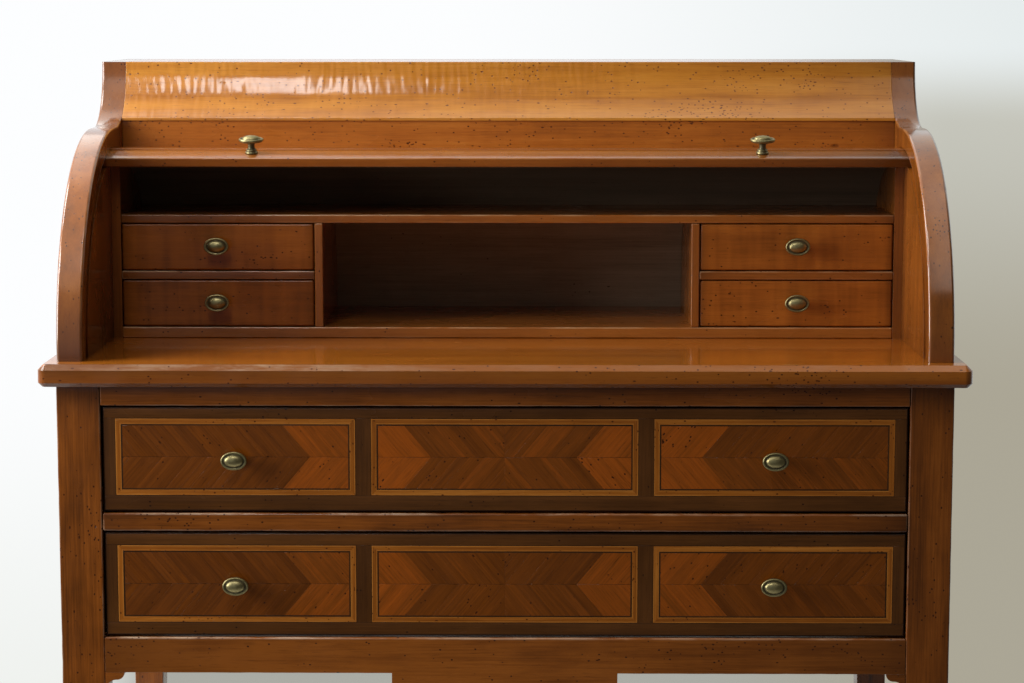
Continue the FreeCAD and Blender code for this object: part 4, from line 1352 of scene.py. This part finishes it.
def studio_world():
    """Soft fill from the room, and a pale wall for the eye and for reflections, with painted shade on the
    wall: greying to the right and low down, and the desk's painted shadow under it and to its right.
    """
    world = bpy.data.worlds.new("studio")
    world.use_nodes = True
    bpy.context.scene.world = world
    g = Graph(world.node_tree)
    direction = g.add("ShaderNodeTexCoord").outputs["Generated"]
    axes = dict(zip("xyz", g.add("ShaderNodeSeparateXYZ", {0: direction}).outputs))
    ray = g.add("ShaderNodeLightPath").outputs
    mirrored = ray["Is Glossy Ray"]

    def part(name):
        axis, none, full = STUDIO[name]
        return g.span(axes[axis], none, full)

    def all_of(*shares):
        met = shares[0]
        for share in shares[1:]:
            met = g.math("MULTIPLY", met, share)
        return met

    def any_of(*shares):
        met = shares[0]
        for share in shares[1:]:
            met = g.math("MAXIMUM", met, share)
        return met

    wall = g.mix(part("wall_right"), g.mix(part("wall_foot"), WALL, WALL_FOOT), WALL_RIGHT)
    ahead = all_of(part("straight_ahead"), part("over_floor"))
    between_legs = g.span(g.math("ABSOLUTE", axes["x"]), *BETWEEN_LEGS)
    # Painted shadow of the desk on the wall between its legs and to its right, also in reflections.
    wall = g.mix(all_of(part("under_rail"), between_legs, ahead), wall, WALL_UNDER_DESK)
    right = all_of(part("shade_right"), ahead)
    shaded = g.ramp(part("shade_top"), [(0.0, WALL_SHADE_LOW), (1.0, WALL_SHADE_HIGH)])
    wall = g.mix(all_of(right, part("wall_shade")), wall, shaded)
    wall = g.mix(all_of(right, part("low"), mirrored), wall, WALL_MIRRORED)
    overhead = all_of(part("high"), g.span(axes["x"], *HIGH_LIGHT))
    room = g.mix(any_of(part("far_left"), overhead, part("rear")), ROOM, ROOM_OPEN)
    room = g.mix(all_of(part("zenith"), mirrored), room, ROOM_TOP)
    front_left = all_of(part("front"), part("front_left"), part("front_rise"), mirrored)
    room = g.mix(front_left, room, ROOM_FRONT)
    behind = all_of(mirrored, part("behind_desk"))
    seen = any_of(ray["Is Camera Ray"], behind, ray["Is Transmission Ray"])
    everywhere = g.mix(seen, room, wall)
    for side, colours in (("left", LEFT_SCREEN), ("right", RIGHT_SCREEN)):
        bounds = all_of(part(f"{side}_screen_near"), part(f"{side}_screen_far"))
        screen = all_of(bounds, part("screen_rise"), mirrored)
        everywhere = g.mix(screen, everywhere, g.mix(part(f"{side}_screen_depth"), *colours))
    light = world.node_tree.nodes["Background"]
    g.feed(light.inputs["Color"], everywhere)
    light.inputs["Strength"].default_value = 1.0


studio_world()


def soft_lamp(name, place, aim, width, height, watts):
    data = bpy.data.lights.new(name, "AREA")
    data.shape = "RECTANGLE"
    data.size = width
    data.size_y = height
    data.energy = watts
    lamp = bpy.data.objects.new(name, data)
    lamp.location = place
    lamp.rotation_euler = (Vector(aim) - Vector(place)).to_track_quat("-Z", "Y").to_euler()
    bpy.context.scene.collection.objects.link(lamp)


soft_lamp("window_left", (-2.0, -0.78, 1.35), aim=(0.0, 0.0, 0.85), width=1.0, height=1.3, watts=50.0)
soft_lamp("skylight_left", (-1.4, -0.15, 2.5), aim=(0.0, 0.0, 0.9), width=0.9, height=0.9, watts=27.0)
soft_lamp(
    "softbox_front", (-0.48, -1.38, 2.42), aim=(-0.25, 0.05, 1.04), width=0.25, height=1.0, watts=7.6,
)


PHOTO_WIDTH_PIXELS = 1024
FOCAL_LENGTH_PIXELS = 2550.24
SENSOR_WIDTH = 36.0
NEAREST_SEEN = 0.05
CAMERA_PLACE = (0.0346, -2.9153, 1.1229)
CAMERA_DOWN = math.radians(7.269)
CAMERA_LEFT = math.radians(0.575)


def photo_camera():
    data = bpy.data.cameras.new("photo_view")
    data.sensor_width = SENSOR_WIDTH
    data.lens = SENSOR_WIDTH * FOCAL_LENGTH_PIXELS / PHOTO_WIDTH_PIXELS
    data.clip_start = NEAREST_SEEN
    camera = bpy.data.objects.new("photo_view", data)
    camera.location = CAMERA_PLACE
    camera.rotation_euler = (math.pi / 2 - CAMERA_DOWN, 0.0, CAMERA_LEFT)
    bpy.context.scene.collection.objects.link(camera)
    bpy.context.scene.camera = camera


photo_camera()
bpy.context.scene.view_settings.view_transform = "Standard"

low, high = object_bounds()
